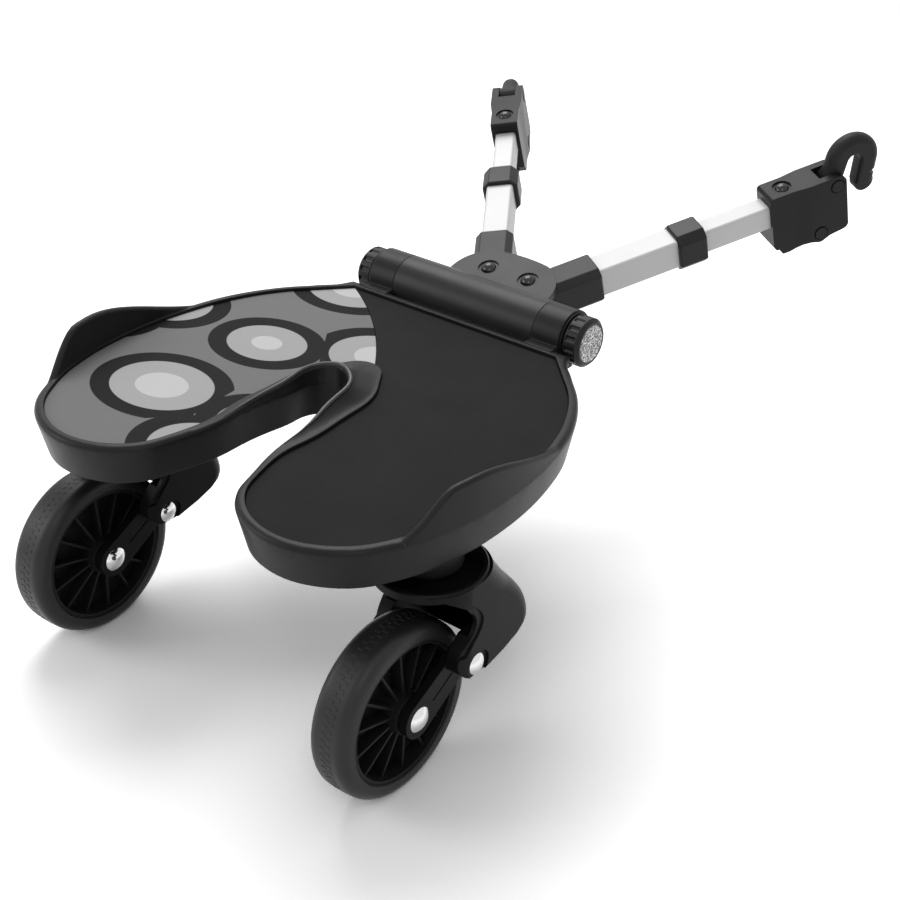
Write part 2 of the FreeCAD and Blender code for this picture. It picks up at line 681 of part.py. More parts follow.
def edge_nodes(points):
    """Points and headings of an edge of tangent arcs, two to each span after the first straight.

    The right half's points run from the front corner to the middle plane; the left half mirrors them.
    """
    spots = [Vec(x, y, 0) for x, y in points]
    straight = (spots[1] - spots[0]).normalize()
    headings = [straight, straight]
    for before, here, after in zip(spots[1:], spots[2:], spots[3:]):
        back, fore = here - before, after - here
        headings.append((back / back.Length ** 2 + fore / fore.Length ** 2).normalize())
    headings.append(Vec(-1, 0, 0))
    nodes = list(zip(spots[:2], headings[:2]))
    for start, leave, end, arrive in zip(spots[1:], headings[1:], spots[2:], headings[2:]):
        chord = end - start
        ahead = chord.dot(leave + arrive)
        spread = 2 * (1 - leave.dot(arrive))
        if spread > 1e-9:
            reach = (sqrt(ahead ** 2 + spread * chord.Length ** 2) - ahead) / spread
        else:
            reach = chord.Length ** 2 / (2 * ahead)
        near, far = start + leave * reach, end - arrive * reach
        nodes += [((near + far) * 0.5, (far - near).normalize()), (end, arrive)]
    return nodes + [(Vec(-p.x, p.y, 0), Vec(t.x, -t.y, 0)) for p, t in reversed(nodes[:-1])]


def moved_nodes(nodes, inset, z):
    """The nodes of the same edge moved inwards by inset, with its corners on the moved front."""
    moved = [(p + Vec(t.y, -t.x, 0) * inset + Z_AXIS * z, t) for p, t in nodes]
    bend, heading = moved[1]
    corner = bend + heading * ((nodes[0][0].y - inset - bend.y) / heading.y)
    moved[0] = (corner, heading)
    moved[-1] = (Vec(-corner.x, corner.y, z), moved[-1][1])
    return moved


def edge_wire(points, inset, z):
    """The closed edge, moved inwards by inset, with its straight front."""
    nodes = moved_nodes(edge_nodes(points), inset, z)
    edges = [heading_arc(a, heading, b) for (a, heading), (b, _) in zip(nodes, nodes[1:])]
    return Part.Wire(edges + [line(nodes[-1][0], nodes[0][0])])


def edge_prism(points, inset, low, high):
    return Part.Face(edge_wire(points, inset, low)).extrude(Vec(0, 0, high - low))


def edge_stations(points, inset, first, last):
    """Evenly spaced spots of the edge between two of its points, each with its inward direction."""
    nodes = moved_nodes(edge_nodes(points), inset, 0)[2 * first - 1:2 * last]
    spots = []
    for (a, heading), (b, _) in zip(nodes, nodes[1:]):
        edge = heading_arc(a, heading, b)
        span = edge.LastParameter - edge.FirstParameter
        for step in range(STATIONS_PER_ARC):
            place = edge.FirstParameter + span * step / STATIONS_PER_ARC
            along = edge.tangentAt(place)
            spots.append((edge.valueAt(place), Vec(along.y, -along.x, 0)))
    return spots


def coaming_section(outer, inner):
    """An upright section of the coaming, from the notch edge to the mat's edge."""
    across = (inner - outer).normalize()
    share = (outer.y - RIM_EDGE[NOTCH_STATION][1]) / (RIM_EDGE[-1][1] - RIM_EDGE[NOTCH_STATION][1])
    top = MAT_TOP_Z + COAMING_LOW + (COAMING_HIGH - COAMING_LOW) * max(share, 0.0) ** COAMING_POWER
    foot_z = RIM_TOP_Z - FACE_GAP
    foot = inner - across
    crest = outer + across * COAMING_ROUND
    lean = COAMING_ROUND * (1 - cos(pi / 4))
    sagged = (crest + foot) * 0.5 + Z_AXIS * (foot_z + (top - foot_z) * COAMING_SAG - COAMING_DIP)
    corners = [
        outer + Z_AXIS * RIM_SIDE_Z, outer + Z_AXIS * (top - COAMING_ROUND), crest + Z_AXIS * top,
        foot + Z_AXIS * foot_z, foot + Z_AXIS * RIM_SIDE_Z,
    ]
    return Part.Wire([
        line(corners[0], corners[1]),
        arc(corners[1], outer + across * lean + Z_AXIS * (top - lean), corners[2]),
        arc(corners[2], sagged, corners[3]),
        line(corners[3], corners[4]), line(corners[4], corners[0]),
    ])


def make_coaming():
    last = len(RIM_EDGE) - 1
    outer = [p for p, _ in edge_stations(RIM_EDGE, COAMING_WALL_INSET, NOTCH_STATION, last)]
    inner = [p for p, _ in edge_stations(MAT_EDGE, 0.0, NOTCH_STATION, last)]
    outer.append(Vec(RIM_EDGE[-1][0], RIM_EDGE[-1][1] + COAMING_WALL_INSET, 0))
    inner.append(Vec(MAT_EDGE[-1][0], MAT_EDGE[-1][1], 0))
    right = [coaming_section(a, b) for a, b in zip(outer, inner)]
    left = [mirrored(section) for section in reversed(right[:-1])]
    return Part.makeLoft(right + left, True, True)


def eased(share):
    share = min(max(share, 0.0), 1.0)
    return share * share * (3 - 2 * share)


def lip_section(centre, across):
    """A round-topped upright section of a side lip."""
    rise = LIP_RISE * eased((centre.y - LIP_START) / (LIP_CREST[0] - LIP_START))
    rise *= 1 - eased((centre.y - LIP_CREST[1]) / (LIP_END - LIP_CREST[1]))
    base = centre + Z_AXIS * RIM_SIDE_Z
    shoulder = centre + Z_AXIS * max(MAT_TOP_Z + rise - LIP_HALF, RIM_SIDE_Z + LIP_LEAST)
    peak = shoulder + Z_AXIS * LIP_HALF
    lean = LIP_HALF * sin(pi / 4)
    left, right = across * -LIP_HALF, across * LIP_HALF
    return Part.Wire([
        line(base + left, shoulder + left),
        arc(shoulder + left, shoulder - across * lean + Z_AXIS * lean, peak),
        arc(peak, shoulder + across * lean + Z_AXIS * lean, shoulder + right),
        line(shoulder + right, base + right), line(base + right, base + left),
    ])


def make_side_lip():
    spots = edge_stations(RIM_EDGE, LIP_HALF + LIP_INSET, *LIP_STATIONS)
    sections = [lip_section(p, across) for p, across in spots if LIP_START < p.y < LIP_END]
    return Part.makeLoft(sections, True, True)


def make_lug():
    start = Vec(SLEEVE_HALF + SLEEVE_GAP, HINGE_Y, HINGE_Z)
    barrel = rod(HINGE_R, start, Vec(LUG_END, HINGE_Y, HINGE_Z))
    block_top = MAT_TOP_Z + RIM_OVER_MAT + LUG_BLOCK_TOP
    back = RIM_EDGE[0][1] - RIM_ROUND - OVERLAP
    corner = Vec(start.x, back, block_top - LUG_BLOCK_DROP)
    block = Part.makeBox(LUG_END - start.x, HINGE_Y - back, LUG_BLOCK_DROP, corner)
    return barrel.fuse(block).removeSplitter()


def make_ribs(hollow):
    """A grid of ribs under the floor, trimmed to the deck's hollow."""
    low = DECK_BOTTOM_Z + RIB_SETBACK
    height = CEILING_Z - low + OVERLAP
    room = hollow.BoundBox
    ribs = []
    count_x = int(room.XMax // RIB_PITCH_X)
    for index in range(-count_x, count_x + 1):
        place = Vec(index * RIB_PITCH_X - RIB / 2, room.YMin, low)
        ribs.append(Part.makeBox(RIB, room.YLength, height, place))
    count_y = int(room.YMax // RIB_PITCH_Y + 0.5)
    for index in range(count_y + 1):
        place = Vec(room.XMin, (index - 0.5) * RIB_PITCH_Y, low)
        ribs.append(Part.makeBox(room.XLength, RIB, height, place))
    return fused(ribs).common(hollow)


def make_deck():
    rings = [edge_wire(RIM_EDGE, SKIRT_TAPER, DECK_BOTTOM_Z)]
    for step in range(RIM_ROUND_STEPS + 1):
        turn = pi / 2 * step / RIM_ROUND_STEPS
        rings.append(edge_wire(RIM_EDGE, RIM_ROUND * (1 - cos(turn)), RIM_SIDE_Z + RIM_ROUND * sin(turn)))
    shell = Part.makeLoft(rings, True, True)
    hollow = Part.makeLoft([
        edge_wire(RIM_EDGE, SKIRT_TAPER + SKIRT_WALL, DECK_BOTTOM_Z - OVERLAP),
        edge_wire(RIM_EDGE, SKIRT_WALL, CEILING_Z),
    ], True, True)
    shell = shell.cut(hollow)
    shell = shell.cut(edge_prism(MAT_EDGE, 0.0, FLOOR_Z, RIM_TOP_Z + PAST))
    lip = make_side_lip()
    lug = make_lug()
    pieces = [shell, make_ribs(hollow), make_coaming(), lip, mirrored(lip), lug, mirrored(lug)]
    for side in (-1, 1):
        place = Vec(side * TRACK_HALF, SWIVEL_AHEAD, 0)
        pieces.append(rod(BOSS_R, place + Z_AXIS * BOSS_BOTTOM_Z, place + Z_AXIS * (CEILING_Z + OVERLAP)))
    deck = fused(pieces)
    for side in (-1, 1):
        place = Vec(side * TRACK_HALF, SWIVEL_AHEAD, 0)
        step = place + Z_AXIS * BUSH_TOP_Z
        deck = deck.cut(rod(STEM_BUSH_R + SEAT_GAP, place + Z_AXIS * (BOSS_BOTTOM_Z - OVERLAP), step))
        deck = deck.cut(rod(STEM_BUSH_R + RETAINER_ROOM, step, place + Z_AXIS * CEILING_Z))
    return deck.cut(rod(ROD_R + RUN_GAP, Vec(-KNOB_END, HINGE_Y, HINGE_Z), Vec(KNOB_END, HINGE_Y, HINGE_Z)))


def make_mats():
    """The black right mat and the printed left mat, parted along the seam."""
    whole = edge_prism(MAT_EDGE, MAT_GAP, FLOOR_Z, MAT_TOP_Z)
    front, bend, notch = [Vec(x, y, FLOOR_Z - OVERLAP) for x, y in MAT_SEAM]
    far = 2 * RIM_EDGE[0][1]
    bounds = [
        notch, Vec(notch.x, -far, notch.z), Vec(far, -far, notch.z), Vec(far, far, notch.z),
        Vec(front.x, far, notch.z), front,
    ]
    sides = [line(a, b) for a, b in zip(bounds, bounds[1:])]
    right_side = prism([arc(front, bend, notch)] + sides, Vec(0, 0, MAT + 2 * OVERLAP))
    left_side = right_side.copy()
    left_side.translate(Vec(-MAT_GAP, -MAT_GAP, 0))
    return whole.common(right_side), whole.cut(left_side)


# Hinge

def make_hinge_rod():
    reach = KNOB_START + ROD_INTO_KNOB
    return rod(ROD_R, Vec(-reach, HINGE_Y, HINGE_Z), Vec(reach, HINGE_Y, HINGE_Z))


def make_hinge_washer():
    ring = rod(WASHER_R, Vec(LUG_END, HINGE_Y, HINGE_Z), Vec(LUG_END + WASHER, HINGE_Y, HINGE_Z))
    return ring.cut(rod(ROD_R + RUN_GAP, Vec(0, HINGE_Y, HINGE_Z), Vec(KNOB_END, HINGE_Y, HINGE_Z)))


def make_knob():
    bore_r = ROD_R + RUN_GAP
    seat_r = REFLECTOR_R + SEAT_GAP
    floor_x = KNOB_END - REFLECTOR
    bore_end = KNOB_START + ROD_INTO_KNOB + FACE_GAP
    profile = [
        (KNOB_START, bore_r), (KNOB_START, KNOB_R - KNOB_FOOT_CHAMFER),
        (KNOB_START + KNOB_FOOT_CHAMFER, KNOB_R), (KNOB_END - KNOB_CHAMFER, KNOB_R),
        (KNOB_END, KNOB_R - KNOB_CHAMFER), (KNOB_END, seat_r), (floor_x, seat_r), (floor_x, 0.0),
        (bore_end, 0.0), (bore_end, bore_r),
    ]
    axis_point = Vec(0, HINGE_Y, HINGE_Z)
    knob = turned([Vec(x, HINGE_Y, HINGE_Z + r) for x, r in profile], axis_point, X_AXIS)
    flutes = []
    centre_r = KNOB_R + KNOB_FLUTE_R - KNOB_FLUTE_DEPTH
    flute_start = KNOB_START + KNOB_FLUTE_ENDS[0]
    flute_end = KNOB_END - KNOB_FLUTE_ENDS[1]
    for index in range(KNOB_FLUTES):
        turn = 2 * pi * index / KNOB_FLUTES
        place = Vec(0, HINGE_Y + centre_r * cos(turn), HINGE_Z + centre_r * sin(turn))
        flutes.append(rod(KNOB_FLUTE_R, place + X_AXIS * flute_start, place + X_AXIS * flute_end))
    return knob.cut(Part.makeCompound(flutes))


def make_reflector():
    return rod(REFLECTOR_R, Vec(KNOB_END - REFLECTOR, HINGE_Y, HINGE_Z), Vec(KNOB_END, HINGE_Y, HINGE_Z))


def on_bracket(shape):
    """Moves a shape from the bracket's own frame (hinge axis, plate plane) to its place."""
    moved = shape.copy()
    moved.rotate(Vec(0, 0, 0), X_AXIS, TILT)
    moved.translate(Vec(0, HINGE_Y, HINGE_Z))
    return moved


def fan_plate(low):
    side_x, side_v = PLATE_SHOULDER
    corner_x, corner_v = PLATE_CORNER
    nose_x, nose_v = PLATE_NOSE
    right = [Vec(PLATE_SIDE, PLATE_BACK_V, low), Vec(side_x, side_v, low), Vec(nose_x, nose_v, low)]
    left = [Vec(-p.x, p.y, p.z) for p in right]
    return prism([
        line(right[0], right[1]), arc(right[1], Vec(corner_x, corner_v, low), right[2]),
        arc(right[2], Vec(0, PLATE_FRONT_V, low), left[2]),
        arc(left[2], Vec(-corner_x, corner_v, low), left[1]), line(left[1], left[0]), line(left[0], right[0]),
    ], Vec(0, 0, PLATE))


def make_bracket():
    sleeve = rod(HINGE_R, Vec(-SLEEVE_HALF, 0, 0), Vec(SLEEVE_HALF, 0, 0))
    web = polygon_prism([
        Vec(-PLATE_SIDE, 0, OVERLAP - HINGE_R), Vec(-PLATE_SIDE, PLATE_BACK_V, LOWER_PLATE_BOTTOM),
        Vec(-PLATE_SIDE, BRACKET_WEB_V, LOWER_PLATE_BOTTOM), Vec(-PLATE_SIDE, BRACKET_WEB_V, 0),
        Vec(-PLATE_SIDE, 0, 0),
    ], Vec(2 * PLATE_SIDE, 0, 0))
    body = fused([sleeve, web, fan_plate(-PLATE), fan_plate(LOWER_PLATE_BOTTOM)])
    hollow_half = SLEEVE_HALF - SLEEVE_END
    body = body.cut(rod(SLEEVE_BORE_R, Vec(-hollow_half, 0, 0), Vec(hollow_half, 0, 0)))
    body = body.cut(rod(ROD_R + RUN_GAP, Vec(-KNOB_END, 0, 0), Vec(KNOB_END, 0, 0)))
    for side in (-1, 1):
        pivot = Vec(side * ARM_PIVOT_X, ARM_PIVOT_V, 0)
        pocket = rod(ROOT_HALF + 2 * FACE_GAP, pivot + Z_AXIS * LOWER_PLATE_TOP, pivot + Z_AXIS * -PLATE)
        above = pivot + Z_AXIS * PAST
        bore = rod(PIVOT_SCREW_R + SEAT_GAP, pivot + Z_AXIS * (LOWER_PLATE_BOTTOM - OVERLAP), above)
        recess = rod(PIVOT_RECESS_R, pivot - Z_AXIS * PIVOT_RECESS, above)
        body = body.cut(pocket).cut(bore).cut(recess)
    return on_bracket(body)


def make_pivot_screw():
    pivot = Vec(ARM_PIVOT_X, ARM_PIVOT_V, 0)
    seat = pivot - Z_AXIS * PIVOT_RECESS
    shank = rod(PIVOT_SCREW_R, pivot + Z_AXIS * LOWER_PLATE_BOTTOM, seat)
    return on_bracket(shank.fuse(dome(PIVOT_HEAD_R, PIVOT_HEAD_RISE, seat, Z_AXIS)))


# Arms, in their own frame: X along the arm from its pivot, Z up from the plate's plane

def on_arm(shape):
    """Moves a shape from the right arm's own frame to its place."""
    slope = radians(TILT)
    splay = radians(SPLAY)
    ahead = Vec(0, cos(slope), sin(slope))
    normal = Vec(0, -sin(slope), cos(slope))
    along = X_AXIS * sin(splay) + ahead * cos(splay)
    left = normal.cross(along)
    pivot = Vec(ARM_PIVOT_X, HINGE_Y, HINGE_Z) + ahead * ARM_PIVOT_V
    matrix = FreeCAD.Matrix(
        along.x, left.x, normal.x, pivot.x, along.y, left.y, normal.y, pivot.y,
        along.z, left.z, normal.z, pivot.z, 0, 0, 0, 1)
    moved = shape.copy()
    moved.Placement = FreeCAD.Placement(matrix).multiply(moved.Placement)
    return moved


def box_section(width, height, corner, start, end):
    """A bar of round-cornered box section along the arm."""
    half, tall = width / 2, height / 2
    lean = corner * (1 - cos(pi / 4))

    def at(y, z):
        return Vec(start, y, ARM_MID + z)

    return prism([
        line(at(corner - half, tall), at(half - corner, tall)),
        arc(at(half - corner, tall), at(half - lean, tall - lean), at(half, tall - corner)),
        line(at(half, tall - corner), at(half, corner - tall)),
        arc(at(half, corner - tall), at(half - lean, lean - tall), at(half - corner, -tall)),
        line(at(half - corner, -tall), at(corner - half, -tall)),
        arc(at(corner - half, -tall), at(lean - half, lean - tall), at(-half, corner - tall)),
        line(at(-half, corner - tall), at(-half, tall - corner)),
        arc(at(-half, tall - corner), at(lean - half, tall - lean), at(corner - half, tall)),
    ], X_AXIS * (end - start))


def chamfered_bar(half, height, chamfer, start, end):
    """A bar of eight-sided section along the arm, with softened edges."""
    tall = height / 2
    outline = [
        (half - chamfer, tall), (half, tall - chamfer), (half, chamfer - tall), (half - chamfer, -tall),
        (chamfer - half, -tall), (-half, chamfer - tall), (-half, tall - chamfer), (chamfer - half, tall),
    ]
    corners = [(Vec(start, y, ARM_MID + z), BAR_ROUND) for y, z in outline]
    return rounded_prism(corners, X_AXIS * (end - start))


def tube_seat(width, height, gap, start, end):
    """The room of a box tube with a gap all round."""
    return box_section(width + 2 * gap, height + 2 * gap, TUBE_ROUND, start, end)


def tube_bore(width, height, wall, start, end):
    """The hollow of a box tube of the given wall, run past both of its ends."""
    corner = TUBE_ROUND - wall / 2
    return box_section(width - 2 * wall, height - 2 * wall, corner, start - OVERLAP, end + OVERLAP)


def make_arm_root():
    low = ARM_MID - ROOT_HEIGHT / 2
    outline = prism([
        arc(Vec(0, ROOT_HALF, low), Vec(-ROOT_HALF, 0, low), Vec(0, -ROOT_HALF, low)),
        line(Vec(0, -ROOT_HALF, low), Vec(ROOT_END, -ROOT_HALF, low)),
        line(Vec(ROOT_END, -ROOT_HALF, low), Vec(ROOT_END, ROOT_HALF, low)),
        line(Vec(ROOT_END, ROOT_HALF, low), Vec(0, ROOT_HALF, low)),
    ], Z_AXIS * ROOT_HEIGHT)
    body = outline.common(chamfered_bar(ROOT_HALF, ROOT_HEIGHT, ROOT_CHAMFER, -ROOT_HALF, ROOT_END))
    body = body.cut(tube_seat(OUTER_WIDTH, OUTER_HEIGHT, SEAT_GAP, OUTER_START, ROOT_END + OVERLAP))
    high = low + ROOT_HEIGHT
    return body.cut(rod(PIVOT_SCREW_R + RUN_GAP, Vec(0, 0, low - OVERLAP), Vec(0, 0, high + OVERLAP)))


def make_outer_tube():
    end = COLLAR_END - COLLAR_LIP
    tube = box_section(OUTER_WIDTH, OUTER_HEIGHT, TUBE_ROUND, OUTER_START, end)
    return tube.cut(tube_bore(OUTER_WIDTH, OUTER_HEIGHT, OUTER_WALL, OUTER_START, end))


def make_collar():
    body = chamfered_bar(COLLAR_HALF, COLLAR_HEIGHT, COLLAR_CHAMFER, COLLAR_START, COLLAR_END)
    seat_end = COLLAR_END - COLLAR_LIP
    body = body.cut(tube_seat(OUTER_WIDTH, OUTER_HEIGHT, SEAT_GAP, COLLAR_START - OVERLAP, seat_end))
    return body.cut(tube_seat(INNER_WIDTH, INNER_HEIGHT, SLIDE_GAP, seat_end - OVERLAP, COLLAR_END + OVERLAP))


def make_inner_tube():
    end = BLOCK_START + TUBE_IN_BLOCK
    tube = box_section(INNER_WIDTH, INNER_HEIGHT, TUBE_ROUND, INNER_START, end)
    hole = rod(BLOCK_SCREW_R + SEAT_GAP, Vec(BLOCK_SCREW_S, 0, ARM_MID), Vec(BLOCK_SCREW_S, 0, 0))
    return tube.cut(tube_bore(INNER_WIDTH, INNER_HEIGHT, INNER_WALL, INNER_START, end)).cut(hole)


def in_block(point, y=0.0):
    """A point of the block's side view, set sideways by y."""
    return Vec(point[0], y, point[1])


def hook_spots():
    """The centre of the hook's bend, the bend's end and the tip's middle, with the hook upright."""
    lean, tip_lean = radians(HOOK_LEAN), radians(HOOK_TIP_LEAN)
    up = Vec(cos(lean), 0, sin(lean))
    inward = Vec(sin(lean), 0, -cos(lean))
    centre = in_block(HOOK_PIN) + up * HOOK_RISE + inward * HOOK_BEND_R
    bend_end = centre - Vec(sin(tip_lean), 0, -cos(tip_lean)) * HOOK_BEND_R
    return centre, bend_end, bend_end + Vec(cos(tip_lean), 0, sin(tip_lean)) * HOOK_LEG


def shut(hook):
    """The hook swung down about its pin until its tip is in the block."""
    moved = hook.copy()
    moved.rotate(in_block(HOOK_PIN), Y_AXIS, HOOK_LEAN - HOOK_SHUT_LEAN)
    return moved


def make_hook_path(half):
    """The ring-shaped way of the hook's tip through the front of the block, and where it ends."""
    pin = in_block(HOOK_PIN)
    _, bend_end, tip = [spot - pin for spot in hook_spots()]
    thick = HOOK_THICK / 2
    down = (tip - bend_end).normalize()
    near_r = down.cross(tip).Length - thick - HOOK_PATH_GAP
    far_r = (bend_end + down.cross(Y_AXIS) * thick).Length + HOOK_PATH_GAP
    across = Y_AXIS * half
    ring = rod(far_r, pin - across, pin + across).cut(rod(near_r, pin - across, pin + across))
    rear = shut(Part.Vertex(tip + pin)).Point.x - thick - HOOK_PATH_GAP
    room = Part.makeBox(BLOCK_END + PAST - rear, 2 * half, far_r, Vec(rear, -half, pin.z - far_r))
    return ring.common(room), rear


def make_hook_block():
    front = BLOCK_END
    low = BLOCK_BOTTOM - PAST
    corners = [(in_block((s, h), -BLOCK_HALF_FRONT), radius) for s, h, radius in BLOCK_CORNERS]
    body = rounded_prism(corners, Y_AXIS * (2 * BLOCK_HALF_FRONT))
    narrow, wide = BLOCK_FLARE
    right = [
        (BLOCK_START - PAST, BLOCK_HALF_REAR), (narrow, BLOCK_HALF_REAR), (wide, BLOCK_HALF_FRONT),
        (front + PAST, BLOCK_HALF_FRONT),
    ]
    plan = [Vec(s, w, low) for s, w in right] + [Vec(s, -w, low) for s, w in reversed(right)]
    body = body.common(polygon_prism(plan, Z_AXIS * (BLOCK_TOP + PAST - low)))
    tube_end = BLOCK_START + TUBE_IN_BLOCK
    body = body.cut(tube_seat(INNER_WIDTH, INNER_HEIGHT, SEAT_GAP, BLOCK_START - PAST, tube_end))
    above = Vec(BLOCK_SCREW_S, 0, BLOCK_TOP + PAST)
    body = body.cut(rod(BLOCK_SCREW_RECESS_R, Vec(BLOCK_SCREW_S, 0, BLOCK_TOP - BLOCK_SCREW_RECESS), above))
    body = body.cut(rod(BLOCK_SCREW_R + SEAT_GAP, Vec(BLOCK_SCREW_S, 0, ARM_MID), above))
    eye_room = HOOK_EYE_R + HOOK_EYE_ROOM
    hook_half = HOOK_HALF + HOOK_SIDE_GAP
    pin_low = HOOK_PIN[1] - eye_room
    slot = [
        (HOOK_SLOT_S, BLOCK_TOP + PAST), (HOOK_SLOT_S, BLOCK_TOP - HOOK_SLOT_SILL),
        (HOOK_PIN[0] - eye_room, HOOK_PIN[1]), (HOOK_PIN[0] - eye_room, pin_low),
        (front + PAST, pin_low), (front + PAST, BLOCK_TOP + PAST),
    ]
    body = body.cut(polygon_prism([in_block(spot, -hook_half) for spot in slot], Y_AXIS * (2 * hook_half)))
    path, path_rear = make_hook_path(hook_half)
    latch_half = LATCH_HALF + FACE_GAP
    rear, fore = LATCH_SLOT
    tall = LATCH_SLOT_ROOF - low
    latch_room = Part.makeBox(fore - rear, 2 * latch_half, tall, Vec(rear, -latch_half, low))
    path_room = Part.makeBox(fore - path_rear, 2 * hook_half, tall, Vec(path_rear, -hook_half, low))
    body = body.cut(path).cut(latch_room).cut(path_room)
    across = Y_AXIS * (BLOCK_HALF_FRONT + PAST)
    head = Y_AXIS * (BLOCK_HALF_FRONT - PIN_HEAD)
    for place, shank_r in ((HOOK_PIN, HOOK_PIN_R), (LATCH_PIN, LATCH_PIN_R)):
        middle = in_block(place)
        body = body.cut(rod(shank_r + SEAT_GAP, middle - across, middle + across))
        body = body.cut(rod(PIN_HEAD_R + PIN_RING, middle + head, middle + across))
        body = body.cut(rod(PIN_HEAD_R + PIN_RING, middle - across, middle - head))
    return body


def make_block_screw():
    seat = Vec(BLOCK_SCREW_S, 0, BLOCK_TOP - BLOCK_SCREW_RECESS)
    tip = Vec(BLOCK_SCREW_S, 0, ARM_MID + INNER_HEIGHT / 2 - 2 * INNER_WALL)
    return rod(BLOCK_SCREW_R, tip, seat).fuse(dome(BLOCK_SCREW_HEAD_R, BLOCK_SCREW_RISE, seat, Z_AXIS))


def headed_pin(place, shank_r):
    side = Y_AXIS * (BLOCK_HALF_FRONT + PIN_PROUD)
    head = Y_AXIS * (BLOCK_HALF_FRONT - PIN_HEAD)
    middle = in_block(place)
    heads = [rod(PIN_HEAD_R, middle + head, middle + side), rod(PIN_HEAD_R, middle - side, middle - head)]
    return fused([rod(shank_r, middle - side, middle + side)] + heads)


def bar_between(a, b, radius, half):
    """A flat bar with round ends between two points of the block's side view."""
    start, end = in_block(a, -half), in_block(b, -half)
    across = (end - start).cross(Y_AXIS).normalize() * radius
    width = Y_AXIS * (2 * half)
    bar = polygon_prism([start + across, end + across, end - across, start - across], width)
    return fused([bar, rod(radius, start, start + width), rod(radius, end, end + width)])


def make_latch():
    """The trigger: a thumb lever behind the pin, and a nose with a catch under the hook's tip."""
    eye = rod(LATCH_EYE_R, in_block(LATCH_PIN, -LATCH_HALF), in_block(LATCH_PIN, LATCH_HALF))
    thumb = bar_between(LATCH_PIN, LATCH_PAD, LATCH_PAD_R, LATCH_HALF)
    nose = bar_between(LATCH_PIN, LATCH_NOSE, LATCH_NOSE_R, LATCH_HALF)
    catch = rod(LATCH_CATCH_R, in_block(LATCH_NOSE, -LATCH_HALF), in_block(LATCH_NOSE, LATCH_HALF))
    past = LATCH_HALF + PAST
    bore = rod(LATCH_PIN_R + RUN_GAP, in_block(LATCH_PIN, -past), in_block(LATCH_PIN, past))
    return fused([eye, thumb, nose, catch]).cut(bore)


def make_latch_spring():
    """The return spring between the slot's roof and the lever, clear of the lever at its nearest edge."""
    slope = (LATCH_PIN[1] - LATCH_PAD[1]) / (LATCH_PIN[0] - LATCH_PAD[0])
    edge_s = LATCH_SPRING_S + LATCH_SPRING_MEAN_R + LATCH_SPRING_WIRE_R
    lever_top = LATCH_PIN[1] - slope * (LATCH_PIN[0] - edge_s) + LATCH_PAD_R * sqrt(1 + slope * slope)
    room = LATCH_SLOT_ROOF - lever_top - 2 * FACE_GAP
    pitch = 2 * (room - 2 * LATCH_SPRING_WIRE_R) / LATCH_SPRING_HALF_TURNS
    low = Vec(LATCH_SPRING_S, 0, lever_top + FACE_GAP + LATCH_SPRING_WIRE_R)
    return coil(low, Z_AXIS, X_AXIS, LATCH_SPRING_MEAN_R, LATCH_SPRING_WIRE_R, pitch, LATCH_SPRING_HALF_TURNS)


def make_hook():
    lean = radians(HOOK_LEAN)
    pin = in_block(HOOK_PIN)
    up = Vec(cos(lean), 0, sin(lean))
    inward = Vec(sin(lean), 0, -cos(lean))
    centre, bend_end, tip = hook_spots()
    down = (tip - bend_end).normalize()

    thick = HOOK_THICK / 2
    inner, outer = HOOK_INNER_ROUND, HOOK_OUTER_ROUND

    def at(depth, side):
        return pin + inward * depth + Y_AXIS * side

    def corner(depth, side, radius, sign):
        slack = radius * (1 - cos(pi / 4))
        d, w = (1 if depth > 0 else -1), (1 if side > 0 else -1)
        ends = [at(depth - d * radius, side), at(depth, side - w * radius)]
        if sign < 0:
            ends.reverse()
        return arc(ends[0], at(depth - d * slack, side - w * slack), ends[1])

    h = HOOK_HALF
    section = Part.Wire([
        line(at(outer - thick, h), at(thick - inner, h)), corner(thick, h, inner, 1),
        line(at(thick, h - inner), at(thick, inner - h)), corner(thick, -h, inner, -1),
        line(at(thick - inner, -h), at(outer - thick, -h)), corner(-thick, -h, outer, 1),
        line(at(-thick, outer - h), at(-thick, h - outer)), corner(-thick, h, outer, -1),
    ])
    foot = Part.Face(section)
    neck = foot.copy()
    neck.translate(up * HOOK_RISE)
    leg = neck.copy()
    leg.rotate(centre, Y_AXIS, HOOK_LEAN - HOOK_TIP_LEAN)
    bend = neck.revolve(centre, Y_AXIS, HOOK_LEAN - HOOK_TIP_LEAN)
    bar = fused([foot.extrude(up * HOOK_RISE), bend, leg.extrude(down * HOOK_LEG)])
    eye = rod(HOOK_EYE_R, pin - Y_AXIS * h, pin + Y_AXIS * h)
    end = rod(thick, tip - Y_AXIS * (h - inner), tip + Y_AXIS * (h - inner))
    hook = fused([bar, eye, end])
    away = down.cross(Y_AXIS)
    nick = bend_end + down * HOOK_NICK_AT + away * thick - Y_AXIS * (2 * h)
    flare = HOOK_NICK_HALF * (1 + OVERLAP / HOOK_NICK)
    cut = polygon_prism([
        nick - away * HOOK_NICK, nick + away * OVERLAP + down * flare, nick + away * OVERLAP - down * flare,
    ], Y_AXIS * (4 * h))
    return hook.cut(cut).cut(rod(HOOK_PIN_R + RUN_GAP, pin - Y_AXIS * (2 * h), pin + Y_AXIS * (2 * h)))


def save(name, shape):
    placed = shape.copy()
    placed.translate(Vec(0, AXLE_Y, 0))
    placed.exportStep("parts/%s.step" % name)


def save_pair(name, shape):
    save(name + "_right", shape)
    save(name + "_left", mirrored(shape))


